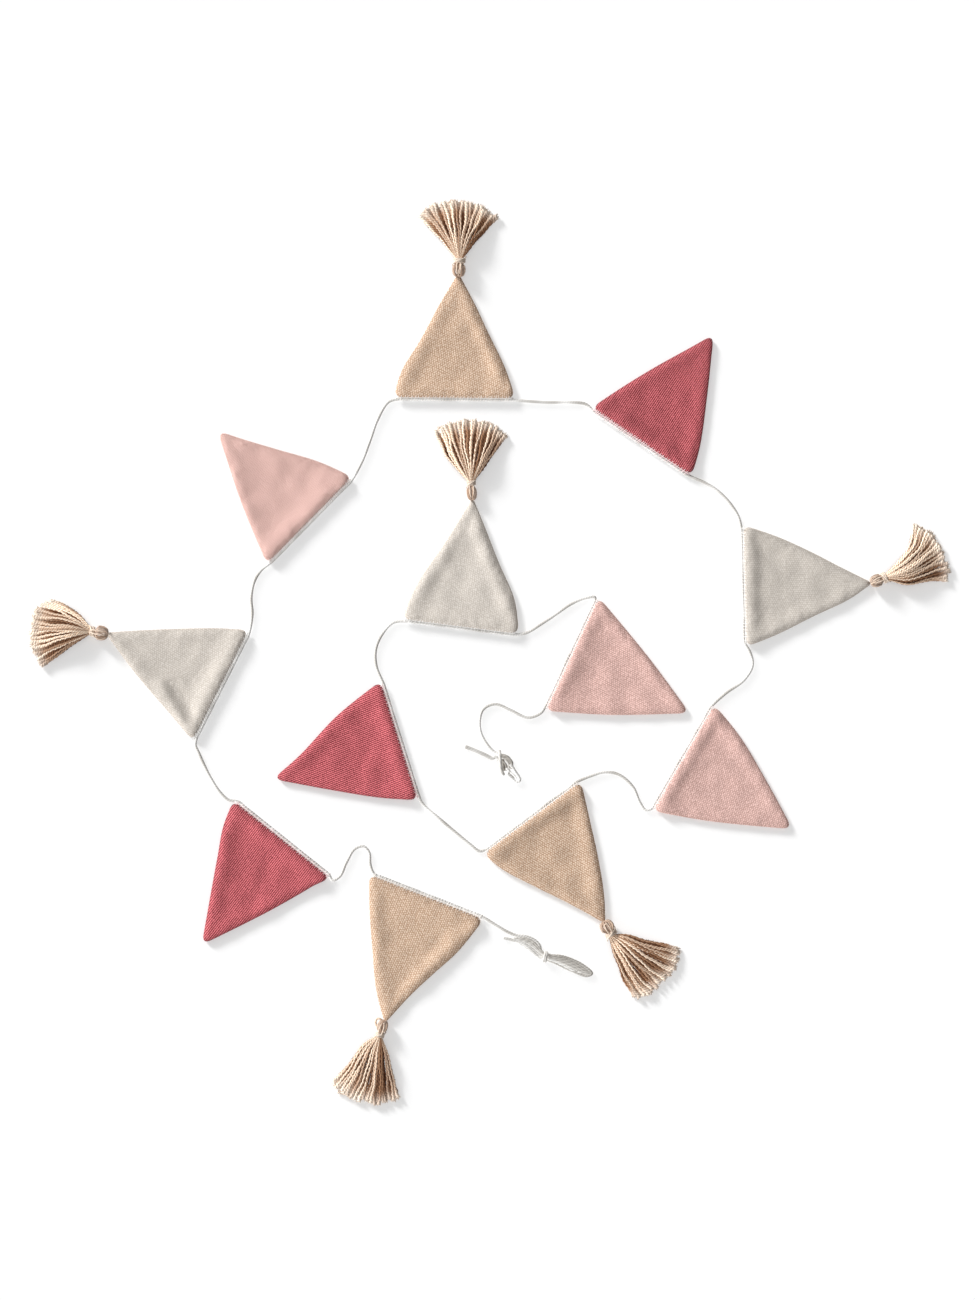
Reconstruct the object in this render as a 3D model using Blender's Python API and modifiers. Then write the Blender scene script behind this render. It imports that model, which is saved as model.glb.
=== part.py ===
"""Fabric bunting: twelve doubled pennants and six tassels on one knotted cord, lying in a spiral.

Metres, +Z up. The bunting rests on z = 0 and is seen from above, with +Y up the page. Its layout was
read by eye off a picture of it, so the places in the tables are pixels there, x right and y down.
The origin is on the surface, under the middle of the box round the pennants and tassels.
"""

from collections import namedtuple
from math import cos, exp, pi, sin, sqrt

import bmesh
import bpy
from mathutils import Matrix, Vector

# Driving sizes
PENNANT_BASE = 0.140  # the straight part of the edge that is sewn to the cord
CLOTH = 0.0012  # one layer of cloth
CORD_DIAMETER = 0.0035
GAP = 0.0003  # between pieces that touch
BASE_OUT = 0.0018  # how far the cloth reaches past the base line, towards the cord
CORD_ASIDE = BASE_OUT + GAP  # between a pennant's base line and the cord beside it

# The picture's scale and the pixel over the origin
BASE_PX = 117.0
CENTRE_PX = (489.7, 652.3)

# A pennant's relief: the outer face's height over the surface, and where it changes
RIM_HEIGHT = 0.0029
ROLL_HEIGHT = 0.0056  # the seam's rounded edge
ROLL_INSET = 0.0070
FIELD_HEIGHT = 0.0042  # the middle
FIELD_INSET = 0.022
BAND_RISE = 0.0012  # the turned-in allowance along the base
BAND_WIDTH = 0.017
TROUGH_RISE = -0.0003  # the dip beside it
TROUGH_AT = 0.022
TROUGH_WIDTH = 0.0057
LEAST_HEIGHT = 0.0029  # keeps the upper cloth off the lower one
RING_INSETS = (0.0, 0.003, 0.007, 0.016, 0.028)
SIDE_PARTS = 4  # straight pieces in one side of an outline
FINE_STEPS = 200  # points that a side is read from
CORNER_CUT = 0.012  # how far the rounding of the corners reaches, and at the tips with and without a tassel
TASSEL_TIP_CUT = 0.007
PLAIN_TIP_CUT = 0.013

# A tassel: a round head, a binding, and a flat fan of strands
HEAD_ARC = 8  # steps in half a turn of the head's profile, which stops short of the last
LYING = 0.78  # yarn that lies down is this much lower than it is wide
BINDING_RADIUS = 0.0064
BINDING_LENGTH = 0.0070
WRAPS = 3
WRAP_DIP = 0.0006
NECK_RADIUS = 0.0055
SKIRT_HEIGHTS = (0.0088, 0.0120, 0.0116, 0.0078, 0.0046)  # from the neck to the free ends
SKIRT_STRANDS = 10  # ridges across the fan
EDGE_SHARE = 0.45  # the fan's outer strands are this much of the full height
STRAND_DIP = 0.0012
STRAND_SETBACK = 0.035  # the dips between ridges end this share of the length earlier
SIDE_STEPS = 33  # points along an edge of the fan
TURNED_SIDES = 12

# The cord
KNOT_HEIGHT = 0.0092
KNOT_FACE_SHARE = 0.8  # a knot's faces are this much narrower than its middle
STRAND_ASIDE = 0.0030  # from a knot's axis to the two strands at each of its faces
STRAND_SQUARE = 0.0020  # how far they run square to that face
SEWN_AT = (0.04, 0.12, 0.5, 0.88, 0.96)  # where the cord's route is held along a base
CORD_HEIGHT = CORD_DIAMETER / 2 + GAP  # of its middle
CURVE_PARTS = 16  # steps between two points of a route before it is thinned
CORD_TOLERANCE = 0.0012  # how far a thinned route may leave its curve

CLOTHS = {
    "pink": ("cloth_pink", (0.768, 0.468, 0.434, 1.0), 0.85),
    "cream": ("cloth_cream", (0.716, 0.686, 0.624, 1.0), 0.88),
    "rose": ("cloth_rose", (0.485, 0.063, 0.082, 1.0), 0.82),
    "tan": ("cloth_tan", (0.686, 0.503, 0.314, 1.0), 0.88),
    "cord": ("cord_white", (0.800, 0.776, 0.716, 1.0), 0.80),
    "yarn": ("tassel_yarn", (0.745, 0.503, 0.330, 1.0), 0.80),
}

# In the order they hang on the cord. The sides' points lie between the base's ends and the tip.
Pennant = namedtuple("Pennant", "number cloth start end tip start_side end_side")
PENNANTS = (
    Pennant(1, "pink", (546.5, 711.5), (600.0, 597.5), (689.8, 713.2),
            ((612.0, 714.8),), ((647.5, 656.1),)),
    Pennant(2, "cream", (519.2, 632.5), (401.7, 617.4), (472.8, 497.5),
            ((514.6, 600.1), (498.4, 561.6), (483.8, 524.2)), ((418.0, 582.5), (444.5, 543.5))),
    Pennant(3, "rose", (379.3, 681.0), (417.0, 800.8), (272.8, 779.0),
            ((337.0, 715.8), (299.5, 755.5)), ((378.4, 797.4), (333.0, 790.2))),
    Pennant(4, "tan", (484.0, 854.8), (581.8, 782.0), (605.4, 923.4),
            ((503.0, 869.6), (536.0, 887.0), (569.0, 903.4)),
            ((590.2, 821.7), (598.0, 856.9), (604.0, 894.4))),
    Pennant(5, "pink", (653.6, 811.8), (715.3, 705.0), (792.5, 829.0),
            ((706.0, 820.5), (750.0, 825.4)), ((739.8, 736.4), (767.9, 783.6))),
    Pennant(6, "cream", (747.5, 647.0), (744.5, 525.0), (872.5, 583.0),
            ((778.0, 634.0), (815.3, 615.4), (848.0, 599.9)),
            ((778.5, 537.3), (811.5, 552.3), (841.4, 567.7))),
    Pennant(7, "rose", (692.5, 475.0), (592.0, 406.6), (713.6, 334.4),
            ((700.0, 446.0), (707.2, 395.0), (711.7, 353.0)),
            ((626.6, 384.5), (657.2, 366.0), (689.6, 348.1))),
    Pennant(8, "tan", (515.5, 397.0), (393.5, 396.0), (458.5, 273.2),
            ((505.3, 368.5), (488.0, 332.4), (474.9, 304.4)),
            ((402.0, 370.5), (420.0, 341.0), (440.5, 303.0))),
    Pennant(9, "pink", (351.8, 476.0), (265.8, 563.2), (217.5, 430.8),
            ((318.3, 461.7), (277.8, 449.7), (243.3, 439.4)), ((241.7, 503.4),)),
    Pennant(10, "cream", (247.8, 629.2), (191.8, 740.5), (105.5, 632.6),
            ((215.0, 628.2), (175.0, 628.9), (140.0, 630.4)), ((168.5, 711.8), (135.5, 673.3))),
    Pennant(11, "rose", (232.5, 801.0), (330.2, 879.2), (201.8, 944.8),
            ((223.2, 827.0), (217.9, 855.0), (212.4, 885.0)),
            ((314.4, 885.3), (300.4, 893.5), (266.4, 912.5))),
    Pennant(12, "tan", (368.5, 875.2), (483.7, 920.2), (384.8, 1023.2),
            ((369.7, 912.0), (372.5, 950.0), (376.3, 990.0)),
            ((458.0, 951.4), (434.3, 973.0), (411.5, 994.2))),
)

# The bunting's folds: raised where rise is positive. Each runs between two places.
Crease = namedtuple("Crease", "pennant begin end width rise")
CREASES = (
    Crease(1, (594, 632), (563, 695), 0.006, -0.0006),
    Crease(2, (468, 523), (434, 593), 0.007, -0.0005),
    Crease(2, (486, 560), (478, 610), 0.014, 0.0006),
    Crease(3, (369, 748), (360, 770), 0.006, -0.0006),
    Crease(3, (384, 742), (370, 775), 0.010, 0.0006),
    Crease(4, (553, 816), (518, 841), 0.007, -0.0006),
    Crease(5, (715, 730), (673, 796), 0.007, -0.0006),
    Crease(7, (646, 427), (677, 443), 0.008, -0.0005),
    Crease(8, (440, 370), (460, 320), 0.014, 0.0006),
    Crease(9, (242, 478), (262, 531), 0.007, -0.0006),
    Crease(9, (320, 486), (271, 541), 0.010, 0.0007),
    Crease(10, (171, 681), (188, 721), 0.007, -0.0007),
    Crease(10, (214, 670), (199, 699), 0.010, 0.0006),
    Crease(11, (269, 860), (252, 909), 0.007, -0.0007),
    Crease(11, (283, 868), (266, 905), 0.010, 0.0006),
    Crease(2, (505, 603), (476, 532), 0.009, 0.0014),
    Crease(8, (498, 372), (469, 311), 0.007, 0.0012),
    Crease(12, (452, 946), (408, 986), 0.007, 0.0010),
    Crease(10, (177, 705), (144, 666), 0.008, 0.0014),
    Crease(12, (446, 931), (427, 953), 0.005, -0.0005),
    Crease(12, (454, 935), (418, 974), 0.009, 0.0007),
)

# Head is the radius of a tassel's head. Each side of a fan runs outward, and its free ends run from the left
# side to the right.
Tassel = namedtuple("Tassel", "pennant top neck head left ends right")
TASSELS = (
    Tassel(2, (472.4, 500.0), (471.0, 483.5), 0.0068,
           ((457.0, 469.0), (446.0, 455.0), (439.6, 440.6), (433.8, 429.8)),
           ((451.0, 422.8), (468.3, 420.2), (491.9, 422.8)),
           ((481.0, 471.9), (490.6, 457.2), (500.2, 442.5), (507.2, 434.9))),
    Tassel(4, (604.6, 922.6), (611.4, 932.8), 0.0078,
           ((627.0, 934.5), (645.0, 940.0), (666.6, 945.0), (679.6, 949.0)),
           ((678.0, 967.3), (658.9, 985.7), (647.4, 994.9)),
           ((613.0, 951.3), (619.0, 966.6), (624.5, 980.4), (635.9, 998.0))),
    Tassel(6, (871.0, 583.2), (885.2, 577.4), 0.0064,
           ((895.7, 563.5), (904.6, 553.3), (910.4, 543.0), (912.9, 523.9)),
           ((928.2, 529.7), (941.0, 548.8), (949.3, 571.8)),
           ((907.8, 584.5), (923.8, 581.0), (947.4, 578.8))),
    Tassel(8, (458.6, 277.0), (459.4, 260.2), 0.0075,
           ((443.0, 242.0), (431.0, 228.5), (419.3, 215.5)),
           ((432.0, 205.3), (458.6, 200.5), (484.0, 207.0)),
           ((475.0, 242.5), (486.5, 229.0), (497.3, 216.5))),
    Tassel(10, (108.2, 634.2), (92.8, 631.3), 0.0072,
           ((74.2, 644.2), (58.3, 655.0), (41.0, 666.5)),
           ((32.1, 647.4), (30.8, 628.3), (36.0, 608.0)),
           ((80.6, 615.5), (67.2, 606.6), (51.2, 600.2))),
    Tassel(12, (384.4, 1020.0), (379.8, 1034.2), 0.0064,
           ((387.3, 1051.9), (390.6, 1065.3), (394.7, 1084.0), (398.7, 1098.8)),
           ((381.9, 1104.0), (361.0, 1101.5), (340.4, 1094.0)),
           ((361.8, 1042.5), (353.0, 1054.6), (343.8, 1068.0), (332.4, 1080.7))),
)

# The cord's free stretches: to the first pennant, between each two, and on to the last knot
LINKS = (
    ((494.0, 751.5), (488.5, 746.3), (481.6, 735.0), (479.4, 723.5), (483.1, 709.4), (495.2, 704.1),
     (510.6, 710.1), (527.3, 717.5), (540.0, 713.5)),
    ((594.5, 597.2), (584.0, 598.4), (571.0, 604.0), (553.6, 615.8), (539.4, 625.2), (527.5, 632.3)),
    ((392.5, 623.0), (380.0, 638.0), (375.4, 651.9), (376.6, 667.2)),
    ((422.5, 803.5), (440.0, 819.0), (460.0, 836.0), (471.0, 845.0), (479.2, 850.8)),
    ((591.0, 775.8), (604.5, 772.0), (618.5, 774.4), (632.5, 786.5), (640.0, 803.0), (645.4, 809.8),
     (651.0, 808.6)),
    ((725.8, 693.1), (744.0, 679.8), (752.3, 664.9), (749.6, 652.0)),
    ((738.0, 516.5), (728.0, 501.2), (715.7, 489.5), (703.5, 482.3)),
    ((585.5, 404.3), (572.0, 402.4), (546.0, 402.4)),
    ((388.2, 402.4), (377.5, 419.9), (369.8, 441.3), (361.8, 462.0)),
    ((261.0, 570.6), (254.2, 582.0), (251.2, 598.0), (252.3, 614.3)),
    ((195.5, 745.0), (198.5, 752.0), (203.8, 764.0), (210.2, 777.0), (219.3, 791.2), (228.3, 799.6)),
    ((332.6, 879.9), (340.0, 876.0), (346.3, 862.5), (354.5, 849.0), (363.5, 846.3), (369.3, 853.0),
     (370.2, 864.5)),
    ((498.3, 926.4), (507.8, 931.8), (516.5, 935.2), (526.0, 936.2), (534.6, 940.0), (539.5, 945.5)),
)

# The knotted ends: each knot's two faces, the loop beyond it and the tail beside the cord
Tie = namedtuple("Tie", "name near_face far_face radius loop tail")
TIES = (
    Tie("a", (498.6, 756.4), (509.8, 767.9), 0.0076,
        ((515.3, 771.6), (518.8, 776.8), (519.7, 780.2), (516.6, 781.8), (511.5, 777.8), (507.4, 773.6)),
        ((492.0, 758.0), (485.0, 754.8), (474.0, 750.0), (465.2, 746.6))),
    Tie("b", (542.2, 955.4), (548.4, 957.2), 0.0072,
        ((560.4, 956.0), (572.3, 959.7), (583.5, 965.6), (591.6, 973.2), (586.0, 975.6), (570.0, 969.1),
         (558.0, 963.6)),
        ((528.0, 947.2), (521.2, 942.6), (511.8, 939.6), (503.0, 937.8))),
)


def place(px, z=0.0):
    """The point at height z under a pixel of the picture."""
    scale = PENNANT_BASE / BASE_PX
    return Vector(((px[0] - CENTRE_PX[0]) * scale, (CENTRE_PX[1] - px[1]) * scale, z))


def across(direction):
    """The level direction a quarter turn to the left of this one."""
    return Vector((-direction.y, direction.x, 0)).normalized()


def through(points, parts=CURVE_PARTS):
    """A smooth curve through the points: a centripetal Catmull-Rom spline in short steps."""
    ends = [2 * points[0] - points[1], *points, 2 * points[-1] - points[-2]]
    curve = []
    for four in zip(ends, ends[1:], ends[2:], ends[3:]):
        knots = [0.0]
        for p, q in zip(four, four[1:]):
            knots.append(knots[-1] + sqrt((q - p).length))
        for step in range(parts):
            t = knots[1] + (knots[2] - knots[1]) * step / parts
            row = list(four)
            for level in (1, 2, 3):
                # The middle two points of the last level but one share the span's own knots.
                low = [knots[max(i, 1 if level == 3 else 0)] for i in range(4 - level)]
                high = [knots[min(i + level, 2 if level == 3 else 3)] for i in range(4 - level)]
                row = [p.lerp(q, (t - a) / (b - a)) for p, q, a, b in zip(row, row[1:], low, high)]
            curve.append(row[0])
    return [*curve, points[-1]]


def spaced(points, count):
    """This many points, evenly spaced along a line of points."""
    lengths = [0.0]
    for p, q in zip(points, points[1:]):
        lengths.append(lengths[-1] + (q - p).length)
    spread, i = [], 0
    for step in range(count):
        at = lengths[-1] * step / (count - 1)
        while i < len(points) - 2 and lengths[i + 1] < at:
            i += 1
        share = (at - lengths[i]) / (lengths[i + 1] - lengths[i])
        spread.append(points[i].lerp(points[i + 1], share))
    return spread


def thinned(curve):
    """The fewest of a curve's points whose straight runs stay within a set distance of it."""
    ends = curve[0], curve[-1]
    away = [to_segment(point, *ends) for point in curve]
    furthest = max(range(len(curve)), key=away.__getitem__)
    if away[furthest] <= CORD_TOLERANCE:
        return list(ends)
    return thinned(curve[:furthest + 1])[:-1] + thinned(curve[furthest:])


def trimmed(side, start_cut, end_cut):
    """Evenly spaced points along a side, without the stretches that its rounded corners take."""
    fine = spaced(side, FINE_STEPS)
    length = sum((q - p).length for p, q in zip(fine, fine[1:]))
    first = round((FINE_STEPS - 1) * start_cut / length)
    last = round((FINE_STEPS - 1) * (1 - end_cut / length))
    return spaced(fine[first:last + 1], SIDE_PARTS + 1)


def outward(row):
    """The level direction from a pennant's tip to its base."""
    start, end, tip = place(row.start), place(row.end), place(row.tip)
    direction = across(end - start)
    return -direction if direction.dot(tip - start) > 0 else direction


def outline(row):
    """A pennant's edge as points, anticlockwise seen from above: three sides and rounded corners."""
    start, end, tip = place(row.start), place(row.end), place(row.tip)
    out = outward(row) * BASE_OUT
    start, end = start + out, end + out
    sides = (
        [start, end],
        through([end, *map(place, row.end_side), tip]),
        through([tip, *map(place, row.start_side[::-1]), start]),
    )
    corners = (end, tip, start)
    tip_cut = TASSEL_TIP_CUT if row.cloth in ("cream", "tan") else PLAIN_TIP_CUT
    cuts = (CORNER_CUT, tip_cut, CORNER_CUT)
    straight = [trimmed(side, cuts[i - 1], cuts[i]) for i, side in enumerate(sides)]
    points = []
    for i, side in enumerate(straight):
        following = straight[(i + 1) % 3]
        points += side
        for share in (1 / 3, 2 / 3):
            near = side[-1].lerp(corners[i], share)
            points.append(near.lerp(corners[i].lerp(following[0], share), share))
    area = sum(p.cross(q).z for p, q in zip(points, points[1:] + points[:1]))
    return points if area > 0 else points[::-1]


def incentre(row):
    """The middle of the circle that touches a pennant's three sides, and that circle's radius."""
    start, end, tip = place(row.start), place(row.end), place(row.tip)
    sides = ((tip - end).length, (tip - start).length, (end - start).length)
    middle = (start * sides[0] + end * sides[1] + tip * sides[2]) / sum(sides)
    return middle, abs((end - start).cross(tip - start).z) / sum(sides)


def bump(distance, width):
    """One at no distance, falling smoothly to nothing over about twice the width."""
    return exp(-((distance / width) ** 2))


def to_segment(point, begin, end):
    """How far a point is from the straight line between two others."""
    along = end - begin
    share = max(0.0, min(1.0, (point - begin).dot(along) / along.length_squared))
    return (point - begin - along * share).length


def outer_height(row, point, inset):
    """The height of a pennant's outer face at a point this far inside its edge."""
    rise = min(inset / ROLL_INSET, 1.0)
    settle = min(max(inset - ROLL_INSET, 0.0) / (FIELD_INSET - ROLL_INSET), 1.0)
    height = RIM_HEIGHT + (ROLL_HEIGHT - RIM_HEIGHT) * sin(rise * pi / 2)
    height -= (ROLL_HEIGHT - FIELD_HEIGHT) * (1 - cos(settle * pi)) / 2
    if inset == 0.0:
        return height
    start, end = place(row.start), place(row.end)
    from_base = to_segment(point, start, end)
    height += BAND_RISE * bump(from_base - BAND_WIDTH / 2, BAND_WIDTH / 2)
    height += TROUGH_RISE * bump(from_base - TROUGH_AT, TROUGH_WIDTH)
    for crease in CREASES:
        if crease.pennant == row.number:
            away = to_segment(point, place(crease.begin), place(crease.end))
            height += crease.rise * bump(away, crease.width) * rise
    return max(height, LEAST_HEIGHT)


def material(key):
    """The material of one cloth, the cord or the yarn."""
    name, colour, roughness = CLOTHS[key]
    if name in bpy.data.materials:
        return bpy.data.materials[name]
    made = bpy.data.materials.new(name)
    made.use_nodes = True
    shader = made.node_tree.nodes["Principled BSDF"]
    shader.inputs["Base Color"].default_value = colour
    shader.inputs["Roughness"].default_value = roughness
    shader.inputs["Metallic"].default_value = 0.0
    made.diffuse_color = colour
    return made


def added(name, data, key):
    """A new object of the bunting's collection, in one of its materials."""
    data.materials.append(material(key))
    made = bpy.data.objects.new(name, data)
    bpy.data.collections["bunting"].objects.link(made)
    return made


def mesh_of(name, shape):
    """A mesh from a bmesh, which is freed."""
    mesh = bpy.data.meshes.new(name)
    shape.to_mesh(mesh)
    shape.free()
    return mesh


def panel_back(row):
    """The underneath cloth of a pennant: its flat outline, one layer thick."""
    name = f"pennant_{row.number:02d}_back"
    curve = bpy.data.curves.new(name, "CURVE")
    curve.dimensions = "2D"
    curve.fill_mode = "BOTH"
    curve.extrude = CLOTH / 2
    spline = curve.splines.new("POLY")
    points = outline(row)
    spline.points.add(len(points) - 1)
    for target, point in zip(spline.points, points):
        target.co = (point.x, point.y, 0, 1)
    spline.use_cyclic_u = True
    made = added(name, curve, row.cloth)
    made.location.z = CLOTH / 2


def panel_front(row):
    """The upper cloth of a pennant: rings of its outline, drawn in and raised to the relief."""
    name = f"pennant_{row.number:02d}_front"
    middle, radius = incentre(row)
    edge = outline(row)
    shape = bmesh.new()
    rings = []
    for inset in RING_INSETS:
        flat = [middle.lerp(p, 1 - inset / radius) for p in edge]
        rings.append([shape.verts.new((p.x, p.y, outer_height(row, p, inset))) for p in flat])
    for outer, inner in zip(rings, rings[1:]):
        for i in range(len(edge)):
            shape.faces.new((outer[i - 1], outer[i], inner[i], inner[i - 1]))
    centre = shape.verts.new((middle.x, middle.y, outer_height(row, middle, radius)))
    for i in range(len(edge)):
        shape.faces.new((rings[-1][i - 1], rings[-1][i], centre))
    mesh = mesh_of(name, shape)
    mesh.shade_smooth()
    made = added(name, mesh, row.cloth)
    layer = made.modifiers.new("layer", "SOLIDIFY")
    layer.thickness = CLOTH
    layer.offset = -1.0


def turned(name, profile, begin, direction, flatness, key):
    """A turned piece lying down: (distance along, radius) from begin, lower than it is wide."""
    mesh = bpy.data.meshes.new(name)
    # The highest point along the axis comes first, so the turned faces point outward.
    points = [(radius, 0.0, along) for along, radius in profile[::-1]]
    mesh.from_pydata(points, [(i, i + 1) for i in range(len(points) - 1)], [])
    made = added(name, mesh, key)
    screw = made.modifiers.new("turn", "SCREW")
    screw.steps = screw.render_steps = TURNED_SIDES
    screw.use_merge_vertices = True
    screw.merge_threshold = 1e-5
    screw.use_smooth_shade = True
    axes = Matrix((across(direction), Vector((0, 0, 1)), direction)).transposed()
    if axes.determinant() < 0:
        axes.col[0] = -axes.col[0]
    made.matrix_world = Matrix.Translation(begin) @ axes.to_4x4() @ Matrix.Diagonal((1, flatness, 1, 1))
    return made


def tassel_direction(row):
    """Which way a tassel lies, away from its pennant."""
    return (place(row.neck) - place(row.top)).normalized()


def tassel_head(row):
    """The rounded bundle between the pennant's tip and the binding."""
    direction = tassel_direction(row)
    long = (place(row.neck) - place(row.top)).length - BINDING_LENGTH / 2 - GAP
    turns = [i * pi / HEAD_ARC for i in range(HEAD_ARC - 1)]
    profile = [(long * (1 - cos(turn)) / 2, row.head * sin(turn)) for turn in turns]
    profile += [(long, NECK_RADIUS), (long, 0.0)]
    begin = place(row.top, row.head * LYING)
    turned(f"tassel_{row.pennant:02d}_head", profile, begin, direction, LYING, "yarn")


def tassel_binding(row):
    """The wraps round the neck: three rounded turns side by side."""
    direction = tassel_direction(row)
    profile = [(0.0, 0.0)]
    for turn in range(WRAPS):
        for share in (0.1, 0.5, 0.9):
            dip = 0.0 if share == 0.5 else WRAP_DIP
            profile.append(((turn + share) * BINDING_LENGTH / WRAPS, BINDING_RADIUS - dip))
    profile[1] = (0.0, profile[1][1])
    profile[-1] = (BINDING_LENGTH, profile[-1][1])
    profile.append((BINDING_LENGTH, 0.0))
    begin = place(row.neck, BINDING_RADIUS * LYING) - direction * BINDING_LENGTH / 2
    turned(f"tassel_{row.pennant:02d}_binding", profile, begin, direction, LYING, "yarn")


def fan_sides(row):
    """The left and right edges of a fan, from the binding outward."""
    direction = tassel_direction(row)
    neck = place(row.neck) + direction * (BINDING_LENGTH / 2 + GAP)
    beside = across(direction) * NECK_RADIUS
    routes = [neck + beside, *map(place, row.left)], [neck - beside, *map(place, row.right)]
    return [spaced(through(route), SIDE_STEPS) for route in routes]


def fan_point(sides, ends, u, v):
    """A point of the fan, u from left to right and v from the neck to the ends, fitted to its edges."""
    left, right = sides
    last = len(left) - 1
    i = min(int(v * last), last - 1)
    on_left = left[i].lerp(left[i + 1], v * last - i)
    on_right = right[i].lerp(right[i + 1], v * last - i)
    on_neck = left[0].lerp(right[0], u)
    on_ends = ends[round(u * (len(ends) - 1))]
    plain = on_neck.lerp(left[-1].lerp(right[-1], u), v)
    return on_left.lerp(on_right, u) + on_neck.lerp(on_ends, v) - plain


def tassel_skirt(row):
    """The fan of yarn, ridged along its strands, with an uneven comb of free ends."""
    name = f"tassel_{row.pennant:02d}_skirt"
    sides = fan_sides(row)
    columns = 2 * SKIRT_STRANDS
    corners = (row.left[-1], *row.ends, row.right[-1])
    ends = spaced(through(list(map(place, corners))), columns + 1)
    rows = len(SKIRT_HEIGHTS) - 1
    shape = bmesh.new()
    tops, bottoms = [], []
    for j, full in enumerate(SKIRT_HEIGHTS):
        top, bottom = [], []
        for i in range(columns + 1):
            dip = (i + 1) % 2
            share = j / rows * (1 - STRAND_SETBACK * dip)
            p = fan_point(sides, ends, i / columns, share)
            round_off = EDGE_SHARE + (1 - EDGE_SHARE) * sin(pi * i / columns)
            height = full * round_off - dip * STRAND_DIP * min(1.0, j / 2)
            top.append(shape.verts.new((p.x, p.y, height)))
            bottom.append(shape.verts.new((p.x, p.y, 0.0)))
        tops.append(top)
        bottoms.append(bottom)
    close_slab(shape, tops, bottoms)
    mesh = mesh_of(name, shape)
    added(name, mesh, "yarn")


def close_slab(shape, tops, bottoms):
    """Faces round a slab between two matching grids of points."""
    across_count, along_count = len(tops[0]) - 1, len(tops) - 1
    for j in range(along_count):
        for i in range(across_count):
            for grid in (tops, bottoms):
                shape.faces.new((grid[j][i], grid[j][i + 1], grid[j + 1][i + 1], grid[j + 1][i]))
        for i in (0, across_count):
            shape.faces.new((tops[j][i], tops[j + 1][i], bottoms[j + 1][i], bottoms[j][i]))
    for j in (0, along_count):
        for i in range(across_count):
            shape.faces.new((tops[j][i], tops[j][i + 1], bottoms[j][i + 1], bottoms[j][i]))
    bmesh.ops.recalc_face_normals(shape, faces=shape.faces)


def tube(name, points):
    """A piece of cord: a round tube along points, with its ends closed."""
    curve = bpy.data.curves.new(name, "CURVE")
    curve.dimensions = "3D"
    curve.bevel_depth = CORD_DIAMETER / 2
    curve.bevel_resolution = 2
    curve.use_fill_caps = True
    spline = curve.splines.new("POLY")
    spline.points.add(len(points) - 1)
    for target, point in zip(spline.points, points):
        target.co = (*point, 1)
    return added(name, curve, "cord")


def base_stretch(row):
    """The cord's route along a pennant's base: just outside it, from its start to its end."""
    start, end = place(row.start), place(row.end)
    beside = outward(row) * (CORD_DIAMETER / 2 + CORD_ASIDE)
    return [start.lerp(end, share) + beside for share in SEWN_AT]


def knot_axis(tie):
    """A knot's direction, from the cord's side to the loop's."""
    return (place(tie.far_face) - place(tie.near_face)).normalized()


def strand(tie, far, left):
    """How a strand leaves a knot: square to its near or far face, left or right of its middle."""
    axis = knot_axis(tie)
    face = place(tie.far_face if far else tie.near_face)
    start = face + across(axis) * (STRAND_ASIDE if left else -STRAND_ASIDE)
    away = axis if far else -axis
    return [start + away * GAP, start + away * STRAND_SQUARE]


def cord_points(begin, middle, finish=()):
    """The points of a piece of cord that leaves a knot and, if it has a finish, meets a knot again."""
    curve = thinned(through([begin[1], *middle, *finish[:1]]))
    return [p + Vector((0, 0, CORD_HEIGHT)) for p in (begin[0], *curve, *finish[1:])]


def cord():
    """The whole cord from one knot to the other, along every base and the free stretches between."""
    route = []
    for row, link in zip(PENNANTS, LINKS):
        route += [place(p) for p in link]
        route += base_stretch(row)
    route += [place(p) for p in LINKS[-1]]
    begin, finish = (strand(tie, far=False, left=True) for tie in TIES)
    tube("cord", cord_points(begin, route, finish[::-1]))


def knotted_end(tie):
    """One end of the cord: a knot, the loop beyond it and the free tail."""
    out, back = (strand(tie, far=True, left=left) for left in (True, False))
    tube(f"tie_{tie.name}_loop", cord_points(out, map(place, tie.loop), back[::-1]))
    tail = strand(tie, far=False, left=False)
    tube(f"tie_{tie.name}_tail", cord_points(tail, map(place, tie.tail)))
    long = (place(tie.far_face) - place(tie.near_face)).length
    face = tie.radius * KNOT_FACE_SHARE
    profile = [(0.0, 0.0), (0.0, face), (long / 2, tie.radius), (long, face), (long, 0.0)]
    begin = place(tie.near_face, KNOT_HEIGHT / 2)
    flatness = KNOT_HEIGHT / 2 / tie.radius
    turned(f"tie_{tie.name}_knot", profile, begin, knot_axis(tie), flatness, "cord")


def clear_scene():
    """An empty scene with the bunting's own collection."""
    for old in list(bpy.data.objects):
        bpy.data.objects.remove(old, do_unlink=True)
    bpy.context.scene.collection.children.link(bpy.data.collections.new("bunting"))


def main():
    clear_scene()
    for row in PENNANTS:
        panel_back(row)
        panel_front(row)
    for row in TASSELS:
        tassel_head(row)
        tassel_binding(row)
        tassel_skirt(row)
    cord()
    for tie in TIES:
        knotted_end(tie)


main()
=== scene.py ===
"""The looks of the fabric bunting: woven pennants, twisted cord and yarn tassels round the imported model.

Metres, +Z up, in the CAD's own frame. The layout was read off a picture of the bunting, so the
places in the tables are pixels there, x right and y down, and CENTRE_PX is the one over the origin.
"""

from collections import namedtuple
from math import cos, pi, radians, sin, sqrt

import bpy
import numpy as np
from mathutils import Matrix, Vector, noise


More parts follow.
